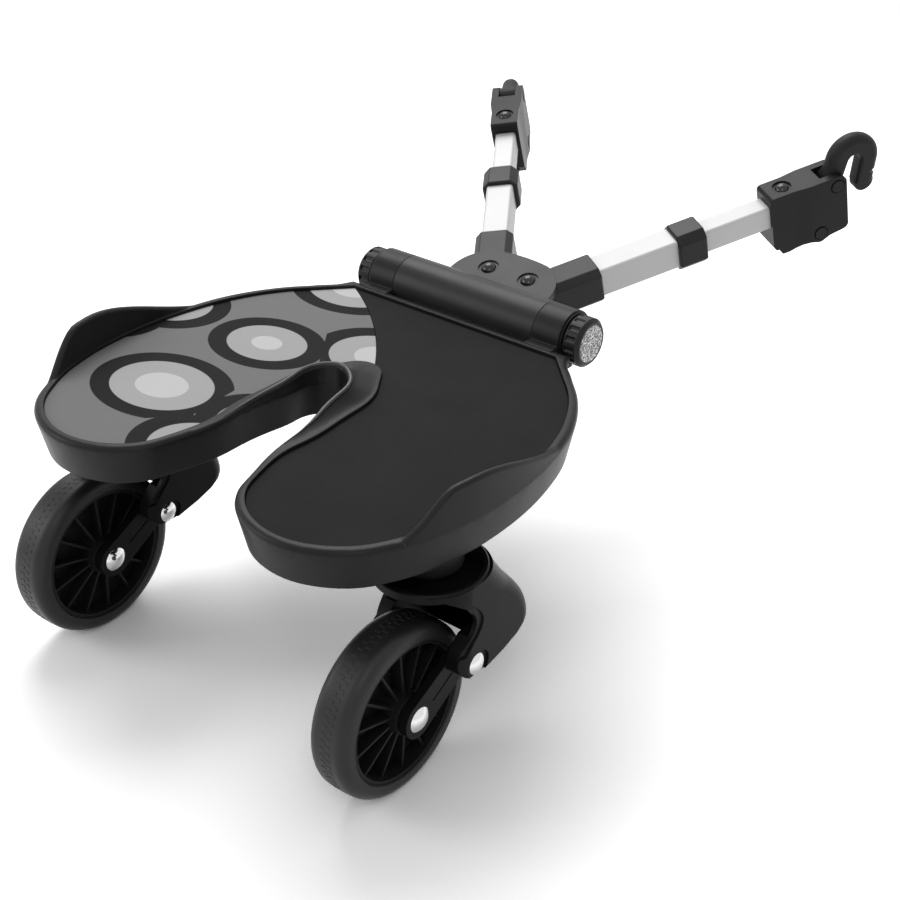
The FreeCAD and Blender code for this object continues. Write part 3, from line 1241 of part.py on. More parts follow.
def main():
    os.makedirs("parts", exist_ok=True)
    save("deck", make_deck())
    mat_right, mat_left = make_mats()
    save("mat_right", mat_right)
    save("mat_left", mat_left)
    save("hinge_rod", make_hinge_rod())
    save("arm_bracket", make_bracket())
    washer = make_hinge_washer()
    save("hinge_washers", Part.makeCompound([washer, mirrored(washer)]))
    save_pair("knob", make_knob())
    save_pair("reflector", make_reflector())
    save_pair("arm_pivot_screw", make_pivot_screw())
    for name, make in (
        ("arm_root", make_arm_root), ("outer_tube", make_outer_tube), ("collar", make_collar),
        ("inner_tube", make_inner_tube), ("hook_block", make_hook_block), ("block_screw", make_block_screw),
        ("latch", make_latch), ("latch_spring", make_latch_spring),
    ):
        save_pair(name, on_arm(make()))
    hook = make_hook()
    save("hook_right", on_arm(hook))
    save("hook_left", mirrored(on_arm(shut(hook))))
    save_pair("hook_pin", on_arm(headed_pin(HOOK_PIN, HOOK_PIN_R)))
    save_pair("latch_pin", on_arm(headed_pin(LATCH_PIN, LATCH_PIN_R)))
    for name, make in (
        ("caster_hood", make_hood), ("caster_stem", make_stem), ("stem_bush", make_stem_bush),
        ("stem_retainer", make_retainer), ("pivot_rivets", make_pivot_rivets),
        ("suspension_springs", make_suspension_springs), ("swing_arms", make_swing_arms),
        ("wheel_axle", make_axle), ("wheel_rim", make_rim), ("tyre", make_tyre),
        ("wheel_bushes", make_wheel_bushes),
    ):
        save_pair(name, make())


main()
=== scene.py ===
"""Buggy board: moulded plastics, grip mats, wheels, telescopic arms and a plain studio."""

import json
import logging
from abc import ABC, abstractmethod
from dataclasses import dataclass, field
from enum import Enum
from functools import cache
from math import cos, pi, radians, sin
from typing import Any, Callable, Mapping, Sequence, Union

import bmesh
import bpy
from bmesh.types import BMEdge
from bpy.types import ColorRamp, Material, MeshPolygon, NodeSocket, Object, World
from mathutils import Matrix, Vector


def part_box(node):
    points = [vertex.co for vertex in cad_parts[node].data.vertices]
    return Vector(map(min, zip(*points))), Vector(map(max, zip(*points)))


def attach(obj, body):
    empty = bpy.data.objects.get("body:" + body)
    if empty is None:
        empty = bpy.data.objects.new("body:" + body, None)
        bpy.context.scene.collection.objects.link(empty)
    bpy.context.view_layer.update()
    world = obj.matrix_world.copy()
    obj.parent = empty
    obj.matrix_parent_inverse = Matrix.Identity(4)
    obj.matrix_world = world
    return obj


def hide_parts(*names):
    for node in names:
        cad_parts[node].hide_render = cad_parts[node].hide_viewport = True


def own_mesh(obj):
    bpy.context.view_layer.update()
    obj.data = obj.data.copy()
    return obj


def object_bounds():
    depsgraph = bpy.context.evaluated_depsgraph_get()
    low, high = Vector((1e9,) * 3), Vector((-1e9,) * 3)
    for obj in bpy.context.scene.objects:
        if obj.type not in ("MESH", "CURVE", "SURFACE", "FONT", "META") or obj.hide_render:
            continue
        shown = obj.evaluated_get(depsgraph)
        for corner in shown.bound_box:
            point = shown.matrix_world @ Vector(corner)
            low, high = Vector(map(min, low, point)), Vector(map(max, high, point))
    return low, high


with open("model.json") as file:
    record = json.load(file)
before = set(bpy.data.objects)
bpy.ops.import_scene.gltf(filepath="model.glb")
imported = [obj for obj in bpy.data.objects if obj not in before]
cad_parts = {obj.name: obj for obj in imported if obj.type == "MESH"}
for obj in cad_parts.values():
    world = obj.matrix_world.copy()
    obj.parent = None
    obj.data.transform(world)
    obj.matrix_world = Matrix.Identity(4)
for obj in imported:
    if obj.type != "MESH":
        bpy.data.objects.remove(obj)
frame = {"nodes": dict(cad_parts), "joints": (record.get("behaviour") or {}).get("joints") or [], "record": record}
CAD_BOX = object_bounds()

MM = 0.001
WELD = 0.002 * MM
LOG = logging.getLogger("buggy_board")

# Where noise lies on average.
NOISE_MIDDLE = 0.5
# The Mix node's sockets when it mixes colours.
MIX_FACTOR = 0
MIX_FIRST = 6
MIX_SECOND = 7
MIX_RESULT = 2
# How far an eased normal leans off the face where an edge starts to count, and where it counts in full.
EDGE_START = 0.01
EDGE_FULL = 0.25
EDGE_SAMPLES = 6
# Pull of large faces on the normals of their corners; 50 is neutral.
FACE_WEIGHT = 60
# Profile of a bevel that is a quarter of a circle.
ROUND_PROFILE = 0.5
# Height and half base of an even triangle in a circle of radius 1.
TRIANGLE_HEIGHT = 1.5
TRIANGLE_HALF = sin(pi / 3)

Colour = tuple[float, float, float, float]
Setting = Any
Inputs = Mapping[str | int, Any]


class Side(Enum):
    """The rider's two sides."""

    RIGHT = "right"
    LEFT = "left"

    def of(self, stem: str) -> str:
        """The name of this side's node, body or joint."""
        return f"{stem}_{self.value}"


class Edge(Enum):
    """How far two neighbouring faces may turn and still shade as one, in degrees."""

    CRISP = 24.0
    MOULDED = 38.0
    ROUND = 60.0


class Pick(Enum):
    """What is selected in edit mode."""

    VERTICES = "VERT"
    EDGES = "EDGE"
    FACES = "FACE"


def grey(level: float, blue: float = 1.0) -> Colour:
    """A neutral colour of a linear brightness.

    Args:
        level: Brightness from 0 to 1, in linear light.
        blue: Factor on the blue channel, for a cool or warm cast.

    Returns:
        The colour with full alpha.
    """
    return (level, level, level * blue, 1.0)


class Value:
    """A shader socket that takes part in Python arithmetic."""

    def __init__(self, graph: "ShaderGraph", socket: NodeSocket) -> None:
        """Keeps the socket and the graph that its Math nodes go to."""
        self.graph = graph
        self.socket = socket

    def _math(self, operation: str, first: "Operand", second: "Operand") -> "Value":
        """The result of one Math node on two operands."""
        return self.graph.node("ShaderNodeMath", {"operation": operation}, {0: first, 1: second})

    def __add__(self, other: "Operand") -> "Value":
        """Sum."""
        return self._math("ADD", self, other)

    def __radd__(self, other: float) -> "Value":
        """Sum with a number on the left."""
        return self._math("ADD", other, self)

    def __sub__(self, other: "Operand") -> "Value":
        """Difference."""
        return self._math("SUBTRACT", self, other)

    def __rsub__(self, other: float) -> "Value":
        """Difference from a number on the left."""
        return self._math("SUBTRACT", other, self)

    def __mul__(self, other: "Operand") -> "Value":
        """Product."""
        return self._math("MULTIPLY", self, other)

    def __rmul__(self, other: float) -> "Value":
        """Product with a number on the left."""
        return self._math("MULTIPLY", other, self)

    def swing(self, spread: float) -> "Value":
        """This noise as a swing to both sides of zero, of about the given width."""
        return spread * (self - NOISE_MIDDLE)


Operand = Union[Value, float]


class ShaderGraph:
    """The node tree of one material, or of the world."""

    def __init__(self, owner: Union[Material, World]) -> None:
        """Clears the owner's node tree and keeps it.

        Args:
            owner: The material or the world.
        """
        owner.use_nodes = True
        self.tree = owner.node_tree
        self.tree.nodes.clear()

    def node(
        self,
        kind: str,
        settings: Mapping[str, Setting] | None = None,
        inputs: Inputs | None = None,
        output: str | int = 0,
    ) -> Value:
        """Adds a node.

        Args:
            kind: The node's type.
            settings: Properties, set first; "stops" fills a colour ramp.
            inputs: Values or links of its sockets, by name or number.
            output: The output that is wanted.

        Returns:
            That output, or the first input of a node that has no outputs.
        """
        made = self.tree.nodes.new(kind)
        for name, setting in (settings or {}).items():
            if name == "stops":
                self._set_stops(made.color_ramp, setting)
            else:
                setattr(made, name, setting)
        for name, given in (inputs or {}).items():
            if isinstance(given, Value):
                self.tree.links.new(given.socket, made.inputs[name])
            else:
                made.inputs[name].default_value = given
        return Value(self, made.outputs[output]) if made.outputs else Value(self, made.inputs[0])

    @staticmethod
    def _set_stops(ramp: ColorRamp, stops: Sequence[tuple[float, Colour]]) -> None:
        """Fills a colour ramp.

        Args:
            ramp: The ramp.
            stops: Places from 0 to 1, each with its colour.
        """
        while len(ramp.elements) < len(stops):
            ramp.elements.new(1.0)
        for element, (place, colour) in zip(ramp.elements, stops):
            element.position = place
            element.color = colour

    def coordinates(self) -> Value:
        """Object coordinates, in metres in the part's own frame."""
        return self.node("ShaderNodeTexCoord", output="Object")

    def noise(self, coords: Value, cell: float, detail: float = 2.0) -> Value:
        """Noise with features of about a cell's size in the coordinates' unit, in octaves of detail."""
        inputs = {"Vector": coords, "Scale": 1 / cell, "Detail": detail}
        return self.node("ShaderNodeTexNoise", None, inputs)

    def step(self, value: Value, low: float, high: float) -> Value:
        """A smooth step from 0 at low to 1 at high."""
        limits = {"Value": value, "From Min": low, "From Max": high}
        return self.node("ShaderNodeMapRange", {"interpolation_type": "SMOOTHSTEP"}, limits)

    def blend(self, factor: Operand, first: Any, second: Any) -> Value:
        """A colour between two colours or sockets: the first at factor 0, the second at factor 1."""
        inputs = {MIX_FACTOR: factor, MIX_FIRST: first, MIX_SECOND: second}
        return self.node("ShaderNodeMix", {"data_type": "RGBA"}, inputs, MIX_RESULT)

    def mottled(self, factor: Value, level: float, shares: tuple[float, float], blue: float = 1.0) -> Value:
        """A grey that noise varies between two shares of a level, the darkest and the palest."""
        dark, pale = shares
        return self.blend(factor, grey(level * dark, blue), grey(level * pale, blue))

    def edge_normal(self, radius: float) -> Value:
        """The normal with every sharp edge eased over a radius."""
        return self.node("ShaderNodeBevel", {"samples": EDGE_SAMPLES}, {"Radius": radius})

    def edge_mask(self, eased: Value) -> Value:
        """Tells edges from faces.

        Args:
            eased: The eased normal.

        Returns:
            1 on the edges that the eased normal rounds, 0 on the faces.
        """
        true_normal = self.node("ShaderNodeNewGeometry", output="Normal")
        pair = {0: eased, 1: true_normal}
        facing = self.node("ShaderNodeVectorMath", {"operation": "DOT_PRODUCT"}, pair, "Value")
        return self.step(1.0 - facing, EDGE_START, EDGE_FULL)

    def bump(self, height: Value, depth: float, normal: Value | None = None) -> Value:
        """A bump of a real depth.

        Args:
            height: The relief, from 0 to 1.
            depth: What a height of 1 stands for, in metres.
            normal: The normal that the relief lies on, where it isn't the surface's own.

        Returns:
            The bumped normal.
        """
        inputs: dict[str | int, Any] = {"Strength": 1.0, "Distance": depth, "Height": height}
        if normal is not None:
            inputs["Normal"] = normal
        return self.node("ShaderNodeBump", None, inputs)

    def principled(self, inputs: Inputs) -> Value:
        """The general surface shader with the given inputs."""
        return self.node("ShaderNodeBsdfPrincipled", None, inputs)

    def surface(self, shader: Value) -> None:
        """Ends the tree in a material output."""
        self.node("ShaderNodeOutputMaterial", None, {"Surface": shader})


class Finish(ABC):
    """A surface finish, which shades one material."""

    name: str

    @abstractmethod
    def shade(self, graph: ShaderGraph) -> Value:
        """Adds the finish's nodes.

        Args:
            graph: The material's node tree.

        Returns:
            The finish's shader.
        """


@cache
def material_of(finish: Finish) -> Material:
    """The material of a finish, made once.

    Args:
        finish: The finish.

    Returns:
        Its material.
    """
    material = bpy.data.materials.new(finish.name)
    graph = ShaderGraph(material)
    graph.surface(finish.shade(graph))
    return material


@dataclass(frozen=True)
class MouldedPlastic(Finish):
    """Satin plastic with a fine moulded grain, cloudy gloss and a painted highlight on its edges."""

    name: str
    level: float
    roughness: float = 0.37
    specular: float = 0.16
    grain: float = 0.55 * MM
    grain_depth: float = 0.02 * MM
    edge: float = 0.6 * MM
    # How much paler the base colour grows on edges: a painted highlight.
    painted_highlight_lift: float = 1.9
    cloud: float = 28 * MM
    blue: float = 1.04
    shares: tuple[float, float] = (0.86, 1.14)
    # Least strength of the painted edge highlight, to which the clouds add.
    least_painted_highlight: float = 0.5
    cloud_gloss: float = 0.16
    grain_gloss: float = 0.08

    def shade(self, graph: ShaderGraph) -> Value:
        """Moulded plastic from noise at two scales and an eased normal.

        Args:
            graph: The material's node tree.

        Returns:
            The plastic's shader.
        """
        coords = graph.coordinates()
        clouds = graph.noise(coords, self.cloud, detail=4.0)
        grain = graph.noise(coords, self.grain)
        eased = graph.edge_normal(self.edge)
        body = graph.mottled(clouds, self.level, self.shares, self.blue)
        # Painted highlight: edges get a paler base colour, as if they caught the light.
        painted_edge_highlight = graph.edge_mask(eased) * (self.least_painted_highlight + clouds)
        return graph.principled({
            "Base Color": graph.blend(painted_edge_highlight, body, grey(self.level * self.painted_highlight_lift, self.blue)),
            "Roughness": self.roughness + clouds.swing(self.cloud_gloss) + grain.swing(self.grain_gloss),
            "Specular IOR Level": self.specular,
            "Normal": graph.bump(grain, self.grain_depth, eased),
        })


@dataclass(frozen=True)
class GripRubber(Finish):
    """Matt black rubber with a fine non-slip grain."""

    name: str
    level: float = 0.0145
    roughness: float = 0.66
    specular: float = 0.06
    grain: float = 0.75 * MM
    grain_depth: float = 0.10 * MM
    cloud: float = 40 * MM
    shares: tuple[float, float] = (0.55, 1.45)
    cloud_gloss: float = 0.14
    grain_gloss: float = 0.16
    fleck_height: float = 0.4

    def colour(self, graph: ShaderGraph, coords: Value, grain: Value) -> Value:
        """The sheet's colour, flecked by its grain."""
        return graph.mottled(grain, self.level, self.shares)

    def shade(self, graph: ShaderGraph) -> Value:
        """Pebbled rubber.

        Args:
            graph: The material's node tree.

        Returns:
            The rubber's shader.
        """
        coords = graph.coordinates()
        fleck = graph.noise(coords, self.grain, detail=3.0)
        pebbles = graph.node("ShaderNodeTexVoronoi", None, {"Vector": coords, "Scale": 1 / self.grain})
        clouds = graph.noise(coords, self.cloud, detail=3.0)
        return graph.principled({
            "Base Color": self.colour(graph, coords, fleck),
            "Roughness": self.roughness + clouds.swing(self.cloud_gloss) + fleck.swing(self.grain_gloss),
            "Specular IOR Level": self.specular,
            "Normal": graph.bump(1.0 - pebbles + self.fleck_height * fleck, self.grain_depth),
        })


@dataclass(frozen=True)
class PrintedRubber(GripRubber):
    """The same sheet with nested ovals printed in greys.

    The edges, from the outermost in, are distances from an oval's middle, in shares of the pattern's cell.
    """

    ground: float = 0.19
    dark: float = 0.014
    pale: tuple[float, float] = (0.39, 0.56)
    oval: float = 118 * MM
    turn: float = 32.0
    stretch: float = 1.3
    scatter: float = 0.75
    edges: tuple[float, float, float] = (0.392, 0.262, 0.092)
    blur: float = 0.008
    size_spread: float = 0.12
    grain_show: float = 0.10

    def colour(self, graph: ShaderGraph, coords: Value, grain: Value) -> Value:
        """Pale ovals inside dark ones on a grey ground, each of its own size.

        Args:
            graph: The material's node tree.
            coords: Object coordinates.
            grain: The sheet's grain, which shows through the print.

        Returns:
            The print's colour.
        """
        turned = graph.node("ShaderNodeMapping", None, {
            "Vector": coords, "Rotation": (0.0, 0.0, radians(self.turn)), "Scale": (1.0, self.stretch, 1.0),
        })
        cells = {"Vector": turned, "Scale": 1 / self.oval, "Randomness": self.scatter}
        spread = graph.node("ShaderNodeTexVoronoi", {"voronoi_dimensions": "2D"}, cells)
        draw = graph.node("ShaderNodeTexVoronoi", {"voronoi_dimensions": "2D"}, cells, "Color")
        lot = graph.node("ShaderNodeSeparateColor", None, {"Color": draw})
        sized = spread - self.size_spread * lot
        outer, inner, core = (graph.step(sized, edge, edge + self.blur) for edge in self.edges)
        pale = graph.blend(core, grey(self.pale[1]), grey(self.pale[0]))
        ovals = graph.blend(inner, pale, graph.blend(outer, grey(self.dark), grey(self.ground)))
        return graph.blend(self.grain_show * grain, ovals, grey(self.level))


@dataclass(frozen=True)
class TyreRubber(Finish):
    """Smooth dark rubber with a soft, wide sheen."""

    name: str
    level: float = 0.017
    roughness: float = 0.42
    specular: float = 0.3
    cloud: float = 22 * MM
    pore: float = 0.5 * MM
    pore_depth: float = 0.012 * MM
    edge: float = 0.3 * MM
    shares: tuple[float, float] = (0.8, 1.25)
    cloud_gloss: float = 0.2
    pore_gloss: float = 0.06

    def shade(self, graph: ShaderGraph) -> Value:
        """Rubber with a dusty roughness and a skin of fine pores.

        Args:
            graph: The material's node tree.

        Returns:
            The rubber's shader.
        """
        coords = graph.coordinates()
        clouds = graph.noise(coords, self.cloud, detail=4.0)
        pores = graph.noise(coords, self.pore)
        return graph.principled({
            "Base Color": graph.mottled(clouds, self.level, self.shares),
            "Roughness": self.roughness + clouds.swing(self.cloud_gloss) + pores.swing(self.pore_gloss),
            "Specular IOR Level": self.specular,
            "Normal": graph.bump(pores, self.pore_depth, graph.edge_normal(self.edge)),
        })


@dataclass(frozen=True)
class AnodisedTube(Finish):
    """Silver anodised aluminium with drawing lines along the tube."""

    name: str
    turn: tuple[float, float, float]
    level: float = 0.60
    blue: float = 1.01
    metallic: float = 0.2
    roughness: float = 0.55
    line: float = 0.35 * MM
    line_depth: float = 0.006 * MM
    line_stretch: float = 120.0
    cloud: float = 30 * MM
    edge: float = 0.3 * MM
    shares: tuple[float, float] = (0.93, 1.05)
    line_gloss: float = 0.14
    cloud_gloss: float = 0.06

    def shade(self, graph: ShaderGraph) -> Value:
        """Metal with lines that run along the tube's own axis.

        Args:
            graph: The material's node tree.

        Returns:
            The metal's shader.
        """
        along = graph.node("ShaderNodeMapping", {"vector_type": "TEXTURE"}, {
            "Vector": graph.coordinates(), "Rotation": self.turn, "Scale": (self.line_stretch, 1.0, 1.0),
        })
        lines = graph.noise(along, self.line, detail=3.0)
        clouds = graph.noise(graph.coordinates(), self.cloud)
        return graph.principled({
            "Base Color": graph.mottled(lines, self.level, self.shares, self.blue),
            "Metallic": self.metallic,
            "Roughness": self.roughness + lines.swing(self.line_gloss) + clouds.swing(self.cloud_gloss),
            "Normal": graph.bump(lines, self.line_depth, graph.edge_normal(self.edge)),
        })


@dataclass(frozen=True)
class Steel(Finish):
    """Steel, from polished heads to plain turned pins and black lacquer."""

    name: str
    level: float = 0.72
    blue: float = 1.01
    metallic: float = 1.0
    roughness: float = 0.12
    smear: float = 5 * MM
    mark: float = 0.4 * MM
    mark_depth: float = 0.004 * MM
    edge: float = 0.25 * MM
    shares: tuple[float, float] = (0.94, 1.06)
    smear_gloss: float = 0.10
    mark_gloss: float = 0.04

    def shade(self, graph: ShaderGraph) -> Value:
        """Steel with fine polishing marks and faint smears.

        Args:
            graph: The material's node tree.

        Returns:
            The steel's shader.
        """
        coords = graph.coordinates()
        smears = graph.noise(coords, self.smear, detail=4.0)
        marks = graph.noise(coords, self.mark)
        return graph.principled({
            "Base Color": graph.mottled(smears, self.level, self.shares, self.blue),
            "Metallic": self.metallic,
            "Roughness": self.roughness + smears.swing(self.smear_gloss) + marks.swing(self.mark_gloss),
            "Normal": graph.bump(marks, self.mark_depth, graph.edge_normal(self.edge)),
        })


@dataclass(frozen=True)
class SilverGlitter(Finish):
    """Reflector of small silver facets under clear plastic.

    Each facet draws a lot from 0 to 1, and the sparkle gives brightnesses to places in that range.
    """

    name: str
    facet: float = 0.9 * MM
    sparkle: tuple[tuple[float, float], ...] = ((0.0, 0.01), (0.45, 0.06), (0.6, 0.45), (1.0, 0.85))
    seam: float = 0.08
    seam_level: float = 0.05
    metallic: float = 0.55
    roughness: float = 0.22
    lot_gloss: float = 0.2
    coat: float = 0.6
    coat_roughness: float = 0.06
    tilt: float = 0.25 * MM

    def shade(self, graph: ShaderGraph) -> Value:
        """Facets of random brightness and tilt, with dark seams.

        Args:
            graph: The material's node tree.

        Returns:
            The reflector's shader.
        """
        coords = graph.coordinates()
        cells = {"Vector": coords, "Scale": 1 / self.facet}
        draw = graph.node("ShaderNodeTexVoronoi", None, cells, "Color")
        lot = graph.node("ShaderNodeSeparateColor", None, {"Color": draw})
        seams = graph.node("ShaderNodeTexVoronoi", {"feature": "DISTANCE_TO_EDGE"}, cells)
        stops = [(place, grey(level)) for place, level in self.sparkle]
        glints = graph.node("ShaderNodeValToRGB", {"stops": stops}, {"Fac": lot})
        return graph.principled({
            "Base Color": graph.blend(graph.step(seams, 0.0, self.seam), grey(self.seam_level), glints),
            "Metallic": self.metallic,
            "Roughness": self.roughness + self.lot_gloss * lot,
            "Coat Weight": self.coat,
            "Coat Roughness": self.coat_roughness,
            "Normal": graph.bump(lot, self.tilt),
        })


@dataclass(frozen=True)
class WhiteFloor(Finish):
    """Pale floor that comes out white, keeps the shadow and is clear from below."""

    name: str
    level: float = 0.82
    seen_level: float = 1.4

    def shade(self, graph: ShaderGraph) -> Value:
        """Matt paper, whiter to the rays that see it than in the light that it gives back.

        Args:
            graph: The material's node tree.

        Returns:
            The floor's shader.
        """
        colour = graph.blend(seen_rays(graph), grey(self.level), grey(self.seen_level))
        paper = graph.node("ShaderNodeBsdfDiffuse", None, {"Color": colour})
        clear = graph.node("ShaderNodeBsdfTransparent")
        below = graph.node("ShaderNodeNewGeometry", output="Backfacing")
        return graph.node("ShaderNodeMixShader", None, {0: below, 1: paper, 2: clear})


def seen_rays(graph: ShaderGraph) -> Value:
    """Tells the rays that see a surface from those that only carry its light.

    Args:
        graph: The node tree that asks.

    Returns:
        1 for camera, glossy and transmission rays, 0 for the rest.
    """
    camera = graph.node("ShaderNodeLightPath", output="Is Camera Ray")
    glossy = graph.node("ShaderNodeLightPath", output="Is Glossy Ray")
    through = graph.node("ShaderNodeLightPath", output="Is Transmission Ray")
    return graph.step(camera + glossy + through, 0.0, 1.0)


# Wide, strong edge lift: a painted highlight on the deck's beads and crests.
DECK_PLASTIC = MouldedPlastic("deck_satin_plastic", level=0.012, edge=1.6 * MM, painted_highlight_lift=3.0)
ARM_PLASTIC = MouldedPlastic("arm_satin_plastic", level=0.020, specular=0.2)
# Glossier than the deck, which is real polish, and twice as pale, which is a painted highlight on the bead.
CREST_PAINTED_HIGHLIGHT_PLASTIC = MouldedPlastic("crest_polished_painted_highlight_plastic", level=0.024, roughness=0.32, specular=0.4)
CLAMP_PLASTIC = MouldedPlastic("clamp_satin_plastic", level=0.012, specular=0.22)
BLOCK_PLASTIC = MouldedPlastic("block_satin_plastic", level=0.0105, specular=0.15)
CASTER_PLASTIC = MouldedPlastic("caster_satin_plastic", level=0.0065, specular=0.09)
RIM_PLASTIC = MouldedPlastic("rim_plastic", level=0.009, roughness=0.48, specular=0.15)
HOOK_PLASTIC = MouldedPlastic("hook_coated_bar", level=0.020, roughness=0.5, grain_depth=0.03 * MM)
NYLON = MouldedPlastic("natural_nylon", level=0.5, roughness=0.5, painted_highlight_lift=1.1, blue=0.94)
MAT_BLACK = GripRubber("black_grip_rubber")
MAT_PRINT = PrintedRubber("printed_grip_rubber")
TYRE = TyreRubber("tyre_rubber")
CHROME = Steel("polished_steel")
BLACK_STEEL = Steel("black_lacquered_steel", level=0.008, metallic=0.0, roughness=0.14)
PLAIN_STEEL = Steel("plain_turned_steel", level=0.5, roughness=0.32)
REFLECTOR = SilverGlitter("silver_glitter")
FLOOR = WhiteFloor("white_floor")


def bodies_by_node() -> dict[str, str]:
    """The body that each node of the frame rides on."""
    bodies = frame["record"]["behaviour"]["bodies"]
    return {node: body for body, nodes in bodies.items() for node in nodes}


def joint(name: str) -> dict[str, Any]:
    """The record of one joint."""
    return next(row for row in frame["joints"] if row["name"] == name)


BODY = bodies_by_node()


def joint_axis(name: str) -> Vector:
    """The direction of one joint's axis, of length 1."""
    return Vector(joint(name)["axis"]).normalized()


def select_only(piece: Object) -> None:
    """Deselects everything and makes one piece active.

    Args:
        piece: The piece.
    """
    bpy.ops.object.select_all(action="DESELECT")
    piece.select_set(True)
    bpy.context.view_layer.objects.active = piece


def edit(piece: Object, pick: Pick) -> None:
    """Opens a piece in edit mode with nothing selected.

    Args:
        piece: The piece.
        pick: What is to be selected.
    """
    select_only(piece)
    bpy.ops.object.mode_set(mode="EDIT")
    bpy.ops.mesh.select_mode(type=pick.value)
    bpy.ops.mesh.select_all(action="DESELECT")


def apply_modifier(piece: Object, kind: str, **settings: Setting) -> None:
    """Adds a modifier with settings and applies it.

    Args:
        piece: The mesh that gets it.
        kind: The modifier's type.
        **settings: Its properties.
    """
    select_only(piece)
    modifier = piece.modifiers.new(kind.lower(), kind)
    for name, setting in settings.items():
        setattr(modifier, name, setting)
    bpy.ops.object.modifier_apply(modifier=modifier.name)


def shade(piece: Object, edge: Edge) -> None:
    """Shades a piece smooth up to an edge angle.

    Args:
        piece: The piece.
        edge: The kind of edge that still shades as one.
    """
    select_only(piece)
    bpy.ops.object.shade_smooth_by_angle(angle=radians(edge.value))
    apply_modifier(piece, "WEIGHTED_NORMAL", keep_sharp=True, weight=FACE_WEIGHT)


def dress(piece: Object, finish: Finish) -> None:
    """Gives a piece one finish all over."""
    piece.data.materials.clear()
    piece.data.materials.append(material_of(finish))


def stand_for(piece: Object, node: str) -> None:
    """Puts a finished piece in the place of one node, on its body.

    Args:
        piece: The piece.
        node: The node that it replaces.
    """
    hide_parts(node)
    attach(piece, BODY[node])
    LOG.info("%s stands for %s on %s", piece.name, node, BODY[node])


def welded_copy(node: str, name: str) -> Object:
    """A copy of one solid with its loose triangles joined.

    Args:
        node: The solid.
        name: The copy's name.

    Returns:
        The copy, in the solid's place.
    """
    piece = bpy.data.objects.new(name, frame["nodes"][node].data.copy())
    bpy.context.scene.collection.objects.link(piece)
    select_only(piece)
    bpy.ops.mesh.customdata_custom_splitnormals_clear()
    bpy.ops.object.mode_set(mode="EDIT")
    bpy.ops.mesh.select_all(action="SELECT")
    bpy.ops.mesh.remove_doubles(threshold=WELD)
    bpy.ops.object.mode_set(mode="OBJECT")
    return piece


@dataclass
class Skin:
    """A welded, smoothly shaded copy of one solid, in its place, with bevelled edges where asked."""

    node: str
    finish: Finish
    edge: Edge = Edge.MOULDED
    bevel: float = 0.0
    bevel_steps: int = 3
    bevel_turn: float = 42.0
    flat_turn: float = 0.4

    def reshape(self, piece: Object) -> None:
        """Draws out what the solid has plainer; a plain skin stays as it is."""

    def ease(self, piece: Object) -> None:
        """Joins the triangles of flat faces and bevels the edges between them.

        Args:
            piece: The welded copy.
        """
        apply_modifier(piece, "DECIMATE", decimate_type="DISSOLVE", angle_limit=radians(self.flat_turn))
        apply_modifier(
            piece, "BEVEL", width=self.bevel, segments=self.bevel_steps,
            limit_method="ANGLE", angle_limit=radians(self.bevel_turn),
        )

    def build(self) -> Object:
        """Welds the copy, shapes it and shades it.

        Returns:
            The finished piece.
        """
        piece = welded_copy(self.node, f"{self.node}_skin")
        self.reshape(piece)
        if self.bevel:
            self.ease(piece)
        shade(piece, self.edge)
        dress(piece, self.finish)
        stand_for(piece, self.node)
        return piece


@dataclass
class Dressed:
    """A solid that shows as it is, with a finish."""

    node: str
    finish: Finish

    def build(self) -> Object:
        """Assigns the finish to the node's own slots.

        Returns:
            The node.
        """
        piece = frame["nodes"][self.node]
        for slot in piece.material_slots:
            slot.material = material_of(self.finish)
        LOG.info("%s keeps its solid in %s", self.node, self.finish.name)
        return piece


@dataclass
class RimmedSkin(Skin):
    """A skin whose end faces have rounded outer rims, as a mould leaves them."""

    along: Vector = field(default_factory=lambda: Vector((0.0, 1.0, 0.0)))
    rim: float = 2.0 * MM
    rim_steps: int = 4
    least_facing: float = 0.95

    def on_rim(self, edge: BMEdge, middle: Vector) -> bool:
        """Whether an edge goes round the outside of an end face.

        Args:
            edge: The edge.
            middle: The middle of the piece, which both faces of an outer edge look away from.

        Returns:
            Whether it is to be rounded.
        """
        if not (edge.is_manifold and edge.is_convex):
            return False
        away = (edge.verts[0].co + edge.verts[1].co) / 2 - middle
        normals = [face.normal for face in edge.link_faces]
        facing = [abs(normal.dot(self.along)) > self.least_facing for normal in normals]
        return any(facing) and not all(facing) and all(normal.dot(away) > 0 for normal in normals)

    def reshape(self, piece: Object) -> None:
        """Rounds the rims.

        Args:
            piece: The welded copy.
        """
        low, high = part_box(self.node)
        edit(piece, Pick.EDGES)
        mesh = bmesh.from_edit_mesh(piece.data)
        for edge in mesh.edges:
            edge.select_set(self.on_rim(edge, (low + high) / 2))
        bmesh.update_edit_mesh(piece.data)
        bpy.ops.mesh.bevel(offset=self.rim, segments=self.rim_steps, affect="EDGES", loop_slide=False)
        bpy.ops.object.mode_set(mode="OBJECT")


@dataclass
class DomedAxle(Skin):
    """An axle whose two heads are drawn to narrower, fuller domes."""

    head: float = 2.4 * MM
    width_share: float = 0.82
    rise_share: float = 1.5

    def reshape(self, piece: Object) -> None:
        """Shapes each head from the plane that it sits on.

        Args:
            piece: The welded copy.
        """
        low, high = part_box(self.node)
        middle = (low + high) / 2
        for seat, outward in ((low.x + self.head, -1.0), (high.x - self.head, 1.0)):
            edit(piece, Pick.VERTICES)
            bpy.ops.object.mode_set(mode="OBJECT")
            for vertex in piece.data.vertices:
                vertex.select = (vertex.co.x - seat) * outward > -WELD
            bpy.ops.object.mode_set(mode="EDIT")
            bpy.ops.transform.resize(
                value=(self.rise_share, self.width_share, self.width_share),
                center_override=(seat, middle.y, middle.z),
            )
            bpy.ops.object.mode_set(mode="OBJECT")


